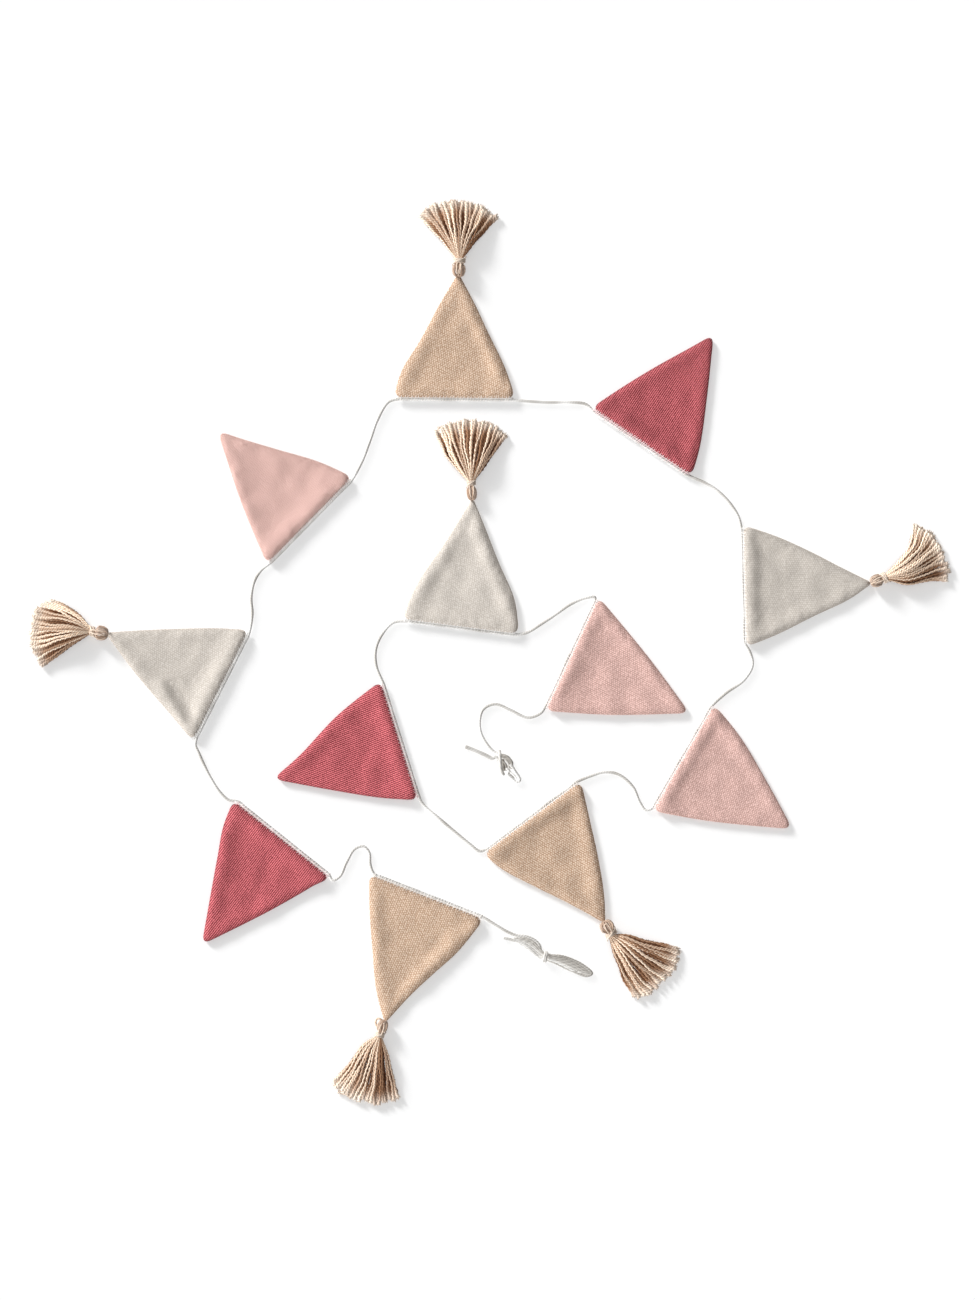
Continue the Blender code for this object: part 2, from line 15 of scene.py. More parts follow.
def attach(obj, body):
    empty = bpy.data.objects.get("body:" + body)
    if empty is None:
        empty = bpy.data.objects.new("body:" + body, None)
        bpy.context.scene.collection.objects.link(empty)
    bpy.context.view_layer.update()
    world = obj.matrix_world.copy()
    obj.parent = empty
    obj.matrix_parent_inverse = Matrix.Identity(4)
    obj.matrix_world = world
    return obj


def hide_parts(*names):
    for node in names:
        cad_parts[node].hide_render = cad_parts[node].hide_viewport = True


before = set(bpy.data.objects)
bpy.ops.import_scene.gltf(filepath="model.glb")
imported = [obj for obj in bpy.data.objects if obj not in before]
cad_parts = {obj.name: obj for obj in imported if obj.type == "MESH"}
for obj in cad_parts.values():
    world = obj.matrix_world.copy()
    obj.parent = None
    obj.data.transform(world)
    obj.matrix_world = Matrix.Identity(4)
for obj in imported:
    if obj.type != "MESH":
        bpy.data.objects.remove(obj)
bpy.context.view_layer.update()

UP = np.array((0.0, 0.0, 1.0))
CURVE_PARTS = 16  # steps from one point of a curve to the next

# The picture and the bunting's real scale in it
PICTURE_PX = (975, 1300)
CENTRE_PX = (489.7, 652.3)
SCALE = 0.140 / 117.0  # metres to a pixel: the sewn edge of a pennant is 140 mm long

# Camera, sky and surface
LENS = 85.0
SENSOR = 36.0
SKY_STRENGTH = 0.38
FLOOR_SIZE = 60.0
FLOOR_DROP = 0.0001  # keeps the surface just off the cloth that lies on it
FLOOR_COLOUR = (0.93, 0.93, 0.93)
FLOOR_ROUGHNESS = 0.9

# Each lamp's direction in degrees, round from +X and above the surface, and how wide it looks. The cord is so
# thin that only the wide lamp's soft shadow falls from it.
Lamp = namedtuple("Lamp", "name strength turn height spread shadows past_cord")
LAMPS = (
    Lamp("key", 2.6, 131.0, 16.0, 9.0, True, True),
    Lamp("wide", 1.4, 131.0, 16.0, 24.0, True, False),
    Lamp("fill", 3.4, 212.0, 20.0, 30.0, False, False),
)

# Materials. A scale is the number of a noise's features in a metre, and a fibre's share is how much it shows.
SPECULAR = 0.15
SHEEN_ROUGHNESS = 0.5
FINE_DETAIL = 3.0
CLOTH_SHEEN = 0.1
CLOTH_FIBRE_SCALE = 1300.0
CLOTH_FIBRE_SHARE = 0.5
WANDER_SCALE = 60.0
SLUB_SCALE = 420.0
PATCH_SCALE = 40.0
PATCH_DETAIL = 0.5
PATCH_RANGE = (0.30, 0.70)
WEAVE_SLANT = 62.0  # degrees between the ribs and the diagonal lines across them
# Below this height the weave's colour darkens towards its gaps: partly the weave's pattern, partly painted
# shade
LIGHT_FROM = 0.80  # the height in the weave from which its yarn is at its lightest
# Painted shade along a pennant's rim: its tint and how far in it reaches
RIM_PAINTED_SHADE_TINT = (1.0, 0.97, 0.95)
RIM_PAINTED_SHADE_WIDTH = 0.0014
YARN_SHEEN = 0.03
YARN_ROUGHNESS = 0.85
YARN_FIBRE_SCALE = 1800.0
YARN_FIBRE_SHARE = 0.6
CREST_RANGE = (0.1, 0.9)

# A pennant: the height of its outer face, from the seam round its edge to the middle
CLOTH = 0.0012
SEAM_HEIGHT = 0.0023
SEAM_GAP = 0.0001
RIM_HEIGHT = 0.0039
RIM_INSET = 0.0012
ROLL_HEIGHT = 0.0056
ROLL_INSET = 0.0070
SETTLE = 0.0015  # from the crest of the roll down to the middle
SETTLE_WIDTH = 0.009
HEM_WIDTH = 0.011
BASE_RISE = 0.0015  # the hem under the base is thicker
BASE_OUT = 0.0018  # how far the cloth reaches past the base line, towards the cord
LEAST_HEIGHT = 0.0028
LEAST_EASE = 0.0008  # over which height the cloth settles on the back
EDGE_EASE = 0.004  # over which its ripples fade in from the edge
CORNER_RISE = 0.0006
CORNER_WIDTH = 0.011
PUCKER = 0.0005
PUCKER_SIZE = 0.0075
PUCKER_WIDTH = 0.006
WRINKLE = 0.0010
WRINKLE_SIZE = 0.022
CRUMPLE = 0.00015
CRUMPLE_SIZE = 0.009

# A pennant's outline, and the rings of its mesh as distances in from the edge. A cut is how far the rounding
# of a corner reaches.
CORNER_CUT = 0.012
TASSEL_TIP_CUT = 0.007
PLAIN_TIP_CUT = 0.013
CORNER_POINTS = 12
OUTLINE_STEP = 0.0005
RIM_POINTS = 280
ROLL_RINGS = (0.0, 0.00008, 0.0003, 0.0007, 0.0013, 0.0020, 0.0028, 0.0036, 0.0046, 0.0058, 0.0072)
RING_STEP = 0.0020
LAST_RING = 0.99  # as a share of the way to the middle
UNDER_ROLL = (0.0012, 0.0040)  # between these the back's inner face comes down from the seam
UNDER_RINGS = (UNDER_ROLL[0], 0.0024, UNDER_ROLL[1], 0.0080, 0.0160)
BACK_ROLL = 0.0026
BACK_RINGS = (0.0, 0.0003, 0.0008, 0.0015, BACK_ROLL, 0.0080, 0.0200)

# Cord
CORD_DIAMETER = 0.0035
CORD_GAP = 0.0003
CORD_ASIDE = 0.0021  # between a pennant's base line and the cord beside it
CORD_PITCH = 0.0064  # along one full turn of its two plies
CORD_SIDES = 12
CORD_STEP = 0.0008
CORD_TONE = 0.68
CORD_MOTTLE = 0.4
CORD_MOTTLE_SIZE = 0.02
CORD_MOTTLE_SEED = 3.1
SHADED_SIDE_PAINTED_LIGHT = 0.27  # painted light: how much paler the cord is made beside a base that faces away from the light, where the cloth shades it
SEWN_AT = (0.04, 0.12, 0.5, 0.88, 0.96)
CORD_FLAT = 0.93  # a cord that lies down is lower and wider
CORD_WIDE = 1.15
CORD_GROOVE = 0.07  # a ply's middle from the middle of the yarn, as a share of the yarn's radius

# Yarn
YARN_RADIUS = 0.0015
YARN_PITCH = 0.0066
YARN_SIDES = 8
YARN_STEP = 0.00095
YARN_GROOVE = 0.16
CREST_POWER = 0.7
STRAND_TURN = 2.399  # radians by which each strand's plies start further round than the last's
LATEST_PHASE = 6  # radians into its waves at which a strand may start, at the most
LYING = 0.78  # yarn that lies down is this much lower than it is wide
LEAST_CLEARANCE = 0.0001  # yarn comes no nearer to the surface

# Knots
STRAND_ASIDE = 0.0030
STRAND_SQUARE = 0.0020
KNOT_HEIGHT = 0.0092
INTO_KNOT = 0.003
KNOT_PITCH = 0.014
RING_TURNS = 2
RING_POINTS = 45  # on each turn
BOUND_TONE = 0.64
RISE_WIDTH = 0.014

# Sewing: the thread beside the cord, and the stitches over it
SEAM_THREAD = 0.00075
SEAM_THREAD_AT = 0.0031
SEAM_ENDS = (0.02, 0.98)
SEAM_POINTS = 60
SEAM_WOBBLE = 0.0001
SEAM_WAVES = 130
SEAM_TONE = 0.85
STITCH_STEP = 0.0010
STITCH_STRAY = 0.15  # as a share of the spacing
STITCH_LEAN = 0.0022
STITCH_TONE = 0.6
STITCH_PARTS = 6
STITCH_WAVES = (2.4, 1.7)  # radians to the next stitch, in the waves of how far they stray and of their tone
THREAD_PITCH = 0.003
THREAD_SIDES = 6
THREAD_WHITE = 0.88
THREAD_PALE = 0.75  # how far its colour is from the cloth's to white
# The thread's ply grooves are darker, painted shade
THREAD_GROOVE = 0.9
THREAD_SHADE = (0.8, 0.78, 0.76)
THREAD_DEPTH = 0.0001

# The head and binding of a tassel
HEAD_STRANDS = 15
HEAD_YARN = 0.0011
HEAD_PITCH = 0.009
HEAD_SIDES = 10
HEAD_TURN = (0.07 * pi, 0.80 * pi)
HEAD_EASE = 0.60 * pi  # from here the strands ease in under the binding
HEAD_POINTS = 36
HEAD_LONG = 1.12
HEAD_ROUND = 0.55
HEAD_LEAST = 0.0004
HEAD_SUNK = 0.85  # how deep its strands lie in its outline, as a share of their radius
HEAD_STRAY = 0.3
HEAD_SWING = 0.12
HEAD_TONES = (0.05, 0.46, 0.26)
HEAD_VARIES = 0.25
HEAD_TIP = (0.12, 0.2)  # at the least, and how much it varies
UNDER_BINDING = 0.0032
INTO_BINDING = 0.003
FOLD_YARN = 0.0008
FOLD_HALF = 0.0024
FOLD_SUNK = 0.0004
FOLD_BOW = 0.0022  # how much lower it gets from the head's middle to its ends
FOLD_AT = 0.62  # its middle, how far it swings from there and its ends, as shares of the head's length
FOLD_SWING = 0.55
FOLD_ENDS = (0.18, 1.1)
FOLD_POINTS = 40
FOLD_TONE = 0.74
FOLD_TIP = 0.3
BINDING_RADIUS = 0.0064
BINDING_LENGTH = 0.0070
WRAPS = 3
WRAP_POINTS = 40  # on each turn
WRAP_SUNK = 0.8  # how deep it lies in the binding's outline, and how wide it is, as shares of half its pitch
WRAP_WIDE = 1.1
WRAP_TONE = 0.66
WRAP_TIP = 0.45
ASLANT_YARN = 0.0008
ASLANT_OUT = 0.0003
ASLANT_ALONG = (-0.4, 1.15)  # as shares of the binding's length
ASLANT_TURN = (-0.05 * pi, 1.05 * pi)
ASLANT_POINTS = 30
ASLANT_TONE = 0.8
ASLANT_TIP = 0.5

# The skirt of a tassel
NECK_RADIUS = 0.0055
SKIRT_POINTS = 60
SKIRT_SPREAD = 1.04
SKIRT_DOME = 0.0058
DOME_SHIFT = 1.15  # brings the top of the dome nearer to the neck
# From where to where along a strand it comes down on the others, gets its full width and its crimp, changes
# its tone and gets the paleness of its end
SETTLES = (0.0, 0.8)
WIDENS = (0.0, 0.35)
CRIMPS = (0.05, 0.3)
TONE_CHANGES = (0.55, 1.0)
TIP_PALES = (0.78, 1.0)
TIP_POWER = 1.5
LIT_SIDE_PAINTED_TONE = 0.22  # painted light and shade: how much lighter the yarn is on the side of the fan towards the key lamp, and darker on the other
CRIMP = 0.00032
CRIMP_LENGTH = 0.0062
SWAY = 0.0006
SWAY_LENGTH = 0.028
NECK_SHARE = 0.62  # a strand's radius under the binding, as a share of its full one
STRAND_WIDE = (0.75, 2.2)
END_WIDER = 0.35
END_TIP = 0.45
FRAYS = 6
FRAYS_SHARE = 0.85  # of the strand's width
FRAY_RADIUS = 0.00050
FRAY_TAPER = (1.0, 1.0, 0.8, 0.35)
FRAY_LENGTH = (0.0026, 0.0046)
FRAY_INTO = 0.0022
FRAY_STRAY = 0.0003
FRAY_FAN = 0.18
FRAY_SPLAY = 90.0  # how much further it points outward for each metre that it starts from the middle
FRAY_RISE = (-0.15, 0.05)
FRAY_TONE = (0.45, 0.9)
FRAY_TIP = (0.25, 0.65)

# A fan's layers, the backing first: the number of strands, their half widths as shares of the distance
# between them, how far they stray from an even spacing and then wander, and how much they lift; the heights
# of their neck, end and dome; how far they reach; their least tone, how much it varies and how much it gains
# to the end; the step along them, and whether their ends fray
# The backing and the layer over it have low tones, painted shade under the top strands, which lift towards
# their ends
Layer = namedtuple("Layer", "count width stray wander lift neck end dome reach tone varies gain step frayed")
LAYERS = (
    Layer(13, (0.60, 0.70), 0.0, 0.0, (0.0, 0.0), -0.75, 0.8, 0.1,
          (0.90, 0.95), 0.0, 0.1, 0.2, 2 * YARN_STEP, False),
    Layer(19, (0.46, 0.60), 0.2, 0.0, (0.0, 0.0), -0.55, 1.1, 0.4,
          (0.95, 1.0), 0.05, 0.3, 0.36, YARN_STEP, True),
    Layer(19, (0.31, 0.48), 0.4, 0.034, (-0.0006, 0.0012), 0.75, 2.3, 1.0,
          (0.95, 1.0), 0.50, 0.5, -0.04, YARN_STEP, True),
)

# The colours of a yarn's crests, of the grooves between its plies (painted shade), of its frayed ends and of
# its darkest strands (painted shade where strands lie under others or in a knot, and tone that differs by
# chance), and its depth
Yarn = namedtuple("Yarn", "name crest groove tip shade depth")
CORD_YARN = Yarn("cord_white_twist", (0.86, 0.85, 0.83), (0.70, 0.69, 0.67), (0.86, 0.85, 0.83),
                 (0.32, 0.30, 0.275), 0.00012)
TASSEL_YARN = Yarn("tassel_yarn_twist", (1.0, 0.85, 0.685), (0.66, 0.44, 0.30), (0.88, 0.81, 0.72),
                   (0.10, 0.042, 0.020), 0.0002)

# Colours of its yarn and of the gaps between, the gaps' colour partly painted shade; the pitch of its ribs
# and how far they wander; how beaded and how uneven its yarn is; how dark the painted shade along its rim
# gets, and how dark its patches get
Cloth = namedtuple("Cloth", "slot light dark rib wander beads mottle roughness depth edge patch")
CLOTHS = {
    "pink": Cloth("cloth_pink", (0.91, 0.625, 0.57), (0.52, 0.32, 0.28),
                  0.0023, 0.0018, 0.9, 1.2, 0.85, 0.00014, 0.80, 0.95),
    "cream": Cloth("cloth_cream", (0.725, 0.675, 0.62), (0.54, 0.49, 0.435),
                   0.0024, 0.0022, 0.9, 1.4, 0.88, 0.00009, 0.85, 0.93),
    "rose": Cloth("cloth_rose", (0.96, 0.25, 0.28), (0.12, 0.0015, 0.006),
                  0.0023, 0.0007, 0.5, 0.45, 0.82, 0.00026, 0.55, 0.93),
    "tan": Cloth("cloth_tan", (0.83, 0.665, 0.525), (0.455, 0.29, 0.19),
                 0.0025, 0.0018, 0.9, 1.1, 0.88, 0.00014, 0.75, 0.94),
}

# In the order they hang on the cord. The sides' points lie between the base's ends and the tip.
Pennant = namedtuple("Pennant", "number cloth start end tip start_side end_side")
DYES = {4: 0.96, 5: 0.98, 6: 0.89, 7: 0.87, 9: 1.02, 11: 0.98}  # factors on the colour, where it differs
GRAINS = {3: 176.0, 4: -20.0, 5: 45.0, 8: -8.0}  # degrees between the weave and the base, where they differ
PENNANTS = (
    Pennant(1, "pink", (546.5, 711.5), (600.0, 597.5), (689.8, 713.2),
            ((612.0, 714.8),), ((647.5, 656.1),)),
    Pennant(2, "cream", (519.2, 632.5), (401.7, 617.4), (472.8, 497.5),
            ((514.6, 600.1), (498.4, 561.6), (483.8, 524.2)), ((418.0, 582.5), (444.5, 543.5))),
    Pennant(3, "rose", (379.3, 681.0), (417.0, 800.8), (272.8, 779.0),
            ((337.0, 715.8), (299.5, 755.5)), ((378.4, 797.4), (333.0, 790.2))),
    Pennant(4, "tan", (484.0, 854.8), (581.8, 782.0), (605.4, 923.4),
            ((503.0, 869.6), (536.0, 887.0), (569.0, 903.4)),
            ((590.2, 821.7), (598.0, 856.9), (604.0, 894.4))),
    Pennant(5, "pink", (653.6, 811.8), (715.3, 705.0), (792.5, 829.0),
            ((706.0, 820.5), (750.0, 825.4)), ((739.8, 736.4), (767.9, 783.6))),
    Pennant(6, "cream", (747.5, 647.0), (744.5, 525.0), (872.5, 583.0),
            ((778.0, 634.0), (815.3, 615.4), (848.0, 599.9)),
            ((778.5, 537.3), (811.5, 552.3), (841.4, 567.7))),
    Pennant(7, "rose", (692.5, 475.0), (592.0, 406.6), (713.6, 334.4),
            ((700.0, 446.0), (707.2, 395.0), (711.7, 353.0)),
            ((626.6, 384.5), (657.2, 366.0), (689.6, 348.1))),
    Pennant(8, "tan", (515.5, 397.0), (393.5, 396.0), (458.5, 273.2),
            ((505.3, 368.5), (488.0, 332.4), (474.9, 304.4)),
            ((402.0, 370.5), (420.0, 341.0), (440.5, 303.0))),
    Pennant(9, "pink", (351.8, 476.0), (265.8, 563.2), (217.5, 430.8),
            ((318.3, 461.7), (277.8, 449.7), (243.3, 439.4)), ((241.7, 503.4),)),
    Pennant(10, "cream", (247.8, 629.2), (191.8, 740.5), (105.5, 632.6),
            ((215.0, 628.2), (175.0, 628.9), (140.0, 630.4)), ((168.5, 711.8), (135.5, 673.3))),
    Pennant(11, "rose", (232.5, 801.0), (330.2, 879.2), (201.8, 944.8),
            ((223.2, 827.0), (217.9, 855.0), (212.4, 885.0)),
            ((314.4, 885.3), (300.4, 893.5), (266.4, 912.5))),
    Pennant(12, "tan", (368.5, 875.2), (483.7, 920.2), (384.8, 1023.2),
            ((369.7, 912.0), (372.5, 950.0), (376.3, 990.0)),
            ((458.0, 951.4), (434.3, 973.0), (411.5, 994.2))),
)

# The bunting's folds: raised where rise is positive. Each runs between two places.
Crease = namedtuple("Crease", "pennant begin end width rise")
CREASES = (
    Crease(1, (594, 632), (563, 695), 0.006, -0.0006),
    Crease(2, (468, 523), (434, 593), 0.007, -0.0005),
    Crease(2, (486, 560), (478, 610), 0.014, 0.0006),
    Crease(3, (369, 748), (360, 770), 0.006, -0.0006),
    Crease(3, (384, 742), (370, 775), 0.010, 0.0006),
    Crease(4, (553, 816), (518, 841), 0.007, -0.0006),
    Crease(5, (715, 730), (673, 796), 0.007, -0.0006),
    Crease(7, (646, 427), (677, 443), 0.008, -0.0005),
    Crease(8, (440, 370), (460, 320), 0.014, 0.0006),
    Crease(9, (242, 478), (262, 531), 0.007, -0.0006),
    Crease(9, (320, 486), (271, 541), 0.010, 0.0007),
    Crease(10, (175, 682), (194, 717), 0.006, -0.0008),
    Crease(10, (214, 670), (199, 699), 0.010, 0.0006),
    Crease(11, (269, 860), (252, 909), 0.007, -0.0007),
    Crease(11, (283, 868), (266, 905), 0.010, 0.0006),
    Crease(2, (505, 603), (476, 532), 0.009, 0.0014),
    Crease(8, (498, 372), (469, 311), 0.007, 0.0012),
    Crease(12, (452, 946), (408, 986), 0.007, 0.0010),
    Crease(10, (162, 684), (181, 718), 0.006, 0.0014),
    Crease(12, (446, 931), (427, 953), 0.005, -0.0005),
    Crease(12, (454, 935), (418, 974), 0.009, 0.0007),
)

# Head and bound are the radii of the head and the binding, and tone is how much paler the yarn is than that
# of the others. Each side of a fan runs outward, and its free ends run from the left side to the right.
Tassel = namedtuple("Tassel", "pennant top neck head bound tone left ends right")
TASSELS = (
    Tassel(2, (472.4, 500.0), (471.2, 483.6), 0.0061, 0.0057, 0.0,
           ((457.0, 469.0), (446.0, 455.0), (439.6, 440.6), (433.8, 429.8)),
           ((451.0, 422.8), (468.3, 420.2), (491.9, 422.8)),
           ((481.0, 471.9), (490.6, 457.2), (500.2, 442.5), (507.2, 434.9))),
    Tassel(4, (603.8, 921.2), (610.8, 933.2), 0.0088, 0.0076, 0.02,
           ((627.0, 934.5), (645.0, 940.0), (666.6, 945.0), (679.6, 949.0)),
           ((678.0, 967.3), (658.9, 985.7), (647.4, 994.9)),
           ((613.0, 951.3), (619.0, 966.6), (624.5, 980.4), (635.9, 998.0))),
    Tassel(6, (870.6, 583.1), (883.8, 577.8), 0.0076, 0.0067, 0.0,
           ((895.7, 563.5), (904.6, 553.3), (910.4, 543.0), (912.9, 523.9)),
           ((928.2, 529.7), (941.0, 548.8), (949.3, 571.8)),
           ((907.8, 584.5), (923.8, 581.0), (947.4, 578.8))),
    Tassel(8, (458.6, 277.0), (459.2, 261.6), 0.0080, 0.0076, 0.0,
           ((443.0, 242.0), (431.0, 228.5), (419.3, 215.5)),
           ((432.0, 205.3), (458.6, 200.5), (484.0, 207.0)),
           ((475.0, 242.5), (486.5, 229.0), (497.3, 216.5))),
    Tassel(10, (108.2, 634.2), (93.2, 631.5), 0.0087, 0.0060, 0.13,
           ((74.2, 644.2), (58.3, 655.0), (41.0, 666.5)),
           ((32.1, 647.4), (30.8, 628.3), (36.0, 608.0)),
           ((80.6, 615.5), (67.2, 606.6), (51.2, 600.2))),
    Tassel(12, (384.4, 1020.0), (379.8, 1034.2), 0.0066, 0.0057, 0.0,
           ((387.3, 1051.9), (390.6, 1065.3), (394.7, 1084.0), (398.7, 1098.8)),
           ((381.9, 1104.0), (361.0, 1101.5), (340.4, 1094.0)),
           ((363.8, 1043.8), (354.9, 1056.0), (345.0, 1069.0), (332.4, 1081.2))),
)

# The cord's free stretches: to the first pennant, between each two, and on to the last knot
LINKS = (
    ((494.0, 751.5), (488.5, 746.3), (481.6, 735.0), (479.4, 723.5), (483.1, 709.4), (495.2, 704.1),
     (510.6, 710.1), (527.3, 717.5), (540.0, 713.5)),
    ((594.5, 597.2), (584.0, 598.4), (571.0, 604.0), (553.6, 615.8), (539.4, 625.2), (527.5, 632.3)),
    ((392.5, 623.0), (380.0, 638.0), (375.4, 651.9), (376.6, 667.2)),
    ((422.5, 803.5), (440.0, 819.0), (460.0, 836.0), (471.0, 845.0), (479.2, 850.8)),
    ((591.0, 775.8), (604.5, 772.0), (618.5, 774.4), (632.5, 786.5), (640.0, 803.0), (645.4, 809.8),
     (651.0, 808.6)),
    ((725.8, 693.1), (744.0, 679.8), (752.3, 664.9), (749.6, 652.0)),
    ((738.0, 516.5), (728.0, 501.2), (715.7, 489.5), (703.5, 482.3)),
    ((585.5, 404.3), (572.0, 402.4), (546.0, 402.4)),
    ((388.2, 402.4), (377.5, 419.9), (369.8, 441.3), (361.8, 462.0)),
    ((261.0, 570.6), (254.2, 582.0), (251.2, 598.0), (252.3, 614.3)),
    ((195.5, 745.0), (198.5, 752.0), (203.8, 764.0), (210.2, 777.0), (219.3, 791.2), (228.3, 799.6)),
    ((332.6, 879.9), (340.0, 876.0), (346.3, 862.5), (354.5, 849.0), (363.5, 846.3), (369.3, 853.0),
     (370.2, 864.5)),
    ((498.3, 926.4), (507.8, 931.8), (516.5, 935.2), (526.0, 936.2), (534.6, 940.0), (539.5, 945.5)),
)

# The knotted ends: each knot's two faces and its radius, whether cord is wound round it, how much its loop
# rises out of it, how wide its tail and how pale its loop is (below one, painted shade), the loop beyond it
# and the tail beside the cord
Tie = namedtuple("Tie", "name near_face far_face radius bound rise tail_wide loop_tone loop tail")
TIES = (
    Tie("a", (498.6, 756.4), (509.8, 767.9), 0.0076, False, 0.0026, 1.3, 1.0,
        ((515.3, 771.6), (518.8, 776.8), (519.7, 780.2), (516.6, 781.8), (511.5, 777.8), (507.4, 773.6)),
        ((492.0, 758.0), (485.0, 754.8), (474.0, 750.0), (465.2, 746.6))),
    Tie("b", (542.2, 955.4), (548.4, 957.2), 0.0072, True, 0.0, 1.0, 0.40,
        ((560.4, 956.0), (572.3, 959.7), (583.5, 965.6), (591.6, 973.2), (586.0, 975.6), (570.0, 969.1),
         (558.0, 963.6)),
        ((528.0, 947.2), (521.2, 942.6), (511.8, 939.6), (503.0, 937.8))),
)

# Strands of the knots and tassels that go their own way: x and y in pixels, z in millimetres. In the knots
# the low tones are painted shade inside the knot and its loops.
Drawn = namedtuple("Drawn", "radius tone points")
DRAWN = {
    "tie_a_knot": (
        Drawn(0.0021, 0.62, ((499.2, 750.8, 1.9), (499.9, 754.0, 5.4), (500.2, 760.0, 7.4),
                             (500.8, 766.5, 7.2), (502.0, 771.2, 5.0), (503.6, 774.4, 2.0))),
        Drawn(0.0013, 1.0, ((508.6, 770.6, 3.0), (512.8, 773.8, 3.2), (517.0, 778.4, 2.8))),
        Drawn(0.0013, 0.9, ((506.4, 772.6, 2.6), (510.6, 776.4, 2.6), (515.0, 779.8, 2.4))),
        # Painted shadow: a thin dark strand in the slit of the loop
        Drawn(0.0006, 0.0, ((508.8, 772.6, 4.0), (511.6, 775.2, 4.0), (514.4, 777.6, 3.8))),
        # Painted shade: dark strands that fill the body of the knot
        Drawn(0.0022, 0.12, ((501.6, 756.0, 2.4), (505.6, 756.4, 3.2), (509.2, 759.6, 3.4),
                             (510.8, 764.0, 3.2), (508.6, 767.2, 2.8))),
        Drawn(0.0016, 0.20, ((501.6, 755.0, 2.6), (505.6, 755.6, 3.9), (510.0, 759.0, 4.4),
                             (512.2, 764.0, 4.0), (511.0, 768.4, 3.0))),
        Drawn(0.0022, 0.0, ((502.2, 758.8, 2.2), (503.2, 763.0, 2.6), (503.6, 767.0, 2.6),
                            (504.8, 770.4, 2.2))),
        Drawn(0.0012, 0.45, ((503.0, 758.0, 4.0), (506.2, 760.0, 5.0), (508.8, 763.8, 5.0),
                             (509.4, 768.0, 4.2))),
        Drawn(0.0013, 0.15, ((502.6, 761.0, 4.2), (505.2, 763.4, 4.8), (506.6, 767.2, 4.6),
                             (507.0, 770.2, 3.8))),
    ),
    "tie_b_knot": (
        # Painted shade: strands that fill the bight beside the knot, darker on its upper side
        Drawn(0.0014, 0.42, ((519.5, 938.0, 1.7), (526.5, 938.4, 2.4), (533.0, 941.2, 2.7),
                             (538.6, 947.2, 2.7), (544.2, 953.8, 3.0))),
        Drawn(0.0016, 0.52, ((516.0, 938.2, 1.7), (524.0, 939.8, 2.2), (532.0, 943.4, 2.5),
                             (538.0, 949.2, 2.6), (544.4, 954.8, 3.1))),
        Drawn(0.0015, 0.70, ((513.6, 938.0, 1.7), (521.0, 940.0, 1.9), (530.6, 944.8, 2.2),
                             (538.2, 951.0, 2.3), (544.6, 955.8, 3.0))),
        Drawn(0.0015, 0.62, ((513.0, 938.6, 1.6), (521.0, 941.2, 1.7), (530.0, 946.6, 1.9),
                             (537.6, 952.8, 2.1), (544.6, 956.8, 3.0))),
        Drawn(0.0014, 0.85, ((512.6, 939.2, 1.5), (520.6, 942.4, 1.6), (529.2, 948.6, 1.7),
                             (537.0, 954.8, 1.9), (543.8, 958.2, 2.8))),
        Drawn(0.0015, 0.93, ((516.0, 941.4, 1.5), (523.6, 946.0, 1.6), (531.0, 951.6, 1.7),
                             (538.0, 957.0, 1.8), (544.4, 960.4, 2.4))),
        # Painted shade: strands that fill the loop, darker on its upper side
        Drawn(0.0016, 0.26, ((547.6, 955.6, 3.0), (557.0, 956.4, 2.6), (569.0, 960.0, 2.1),
                             (581.0, 966.2, 1.9), (590.2, 973.0, 1.8))),
        Drawn(0.0016, 0.46, ((547.6, 956.6, 3.2), (557.0, 958.2, 2.8), (568.8, 962.6, 2.3),
                             (580.4, 968.6, 2.0), (590.0, 974.4, 1.8))),
        Drawn(0.0015, 0.55, ((547.6, 957.2, 3.1), (557.0, 960.0, 2.4), (568.6, 965.0, 2.0),
                             (580.0, 970.8, 1.8), (589.6, 975.0, 1.7))),
        Drawn(0.0013, 0.95, ((547.8, 958.6, 3.6), (556.0, 961.6, 3.2), (564.6, 965.8, 3.0),
                             (573.0, 970.4, 2.5), (581.0, 973.6, 2.0))),
        Drawn(0.0014, 0.60, ((548.0, 958.6, 2.6), (556.6, 963.4, 1.8), (567.0, 968.8, 1.6),
                             (578.6, 973.6, 1.6), (588.0, 976.0, 1.5))),
    ),
    "tassel_12_head": (
        Drawn(0.0013, 0.8, ((382.8, 1020.8, 4.6), (379.6, 1018.0, 5.6), (376.4, 1019.2, 5.2),
                            (375.8, 1022.8, 4.6), (377.6, 1026.4, 4.6), (381.2, 1029.0, 4.8))),
    ),
}

# Whip stitches that hold the cord, between two shares of a pennant's base
Sewing = namedtuple("Sewing", "pennant begin end spacing thread")
SEWINGS = (
    *(Sewing(row.number, 0.03, 0.97, 0.0042, 0.00045) for row in PENNANTS if row.number != 7),
    Sewing(7, 0.03, 0.44, 0.0042, 0.00045),
    Sewing(7, 0.44, 0.97, 0.0026, 0.0005),
)


# ---- Lines and curves


def place(px, z=0.0):
    """The point at height z under a pixel of the picture."""
    return np.array(((px[0] - CENTRE_PX[0]) * SCALE, (CENTRE_PX[1] - px[1]) * SCALE, z))


def unit(vectors):
    """The vectors, each one long."""
    return vectors / np.linalg.norm(vectors, axis=-1, keepdims=True)


def across(direction):
    """The level direction a quarter turn to the left of this one."""
    return unit(np.array((-direction[1], direction[0], 0.0)))


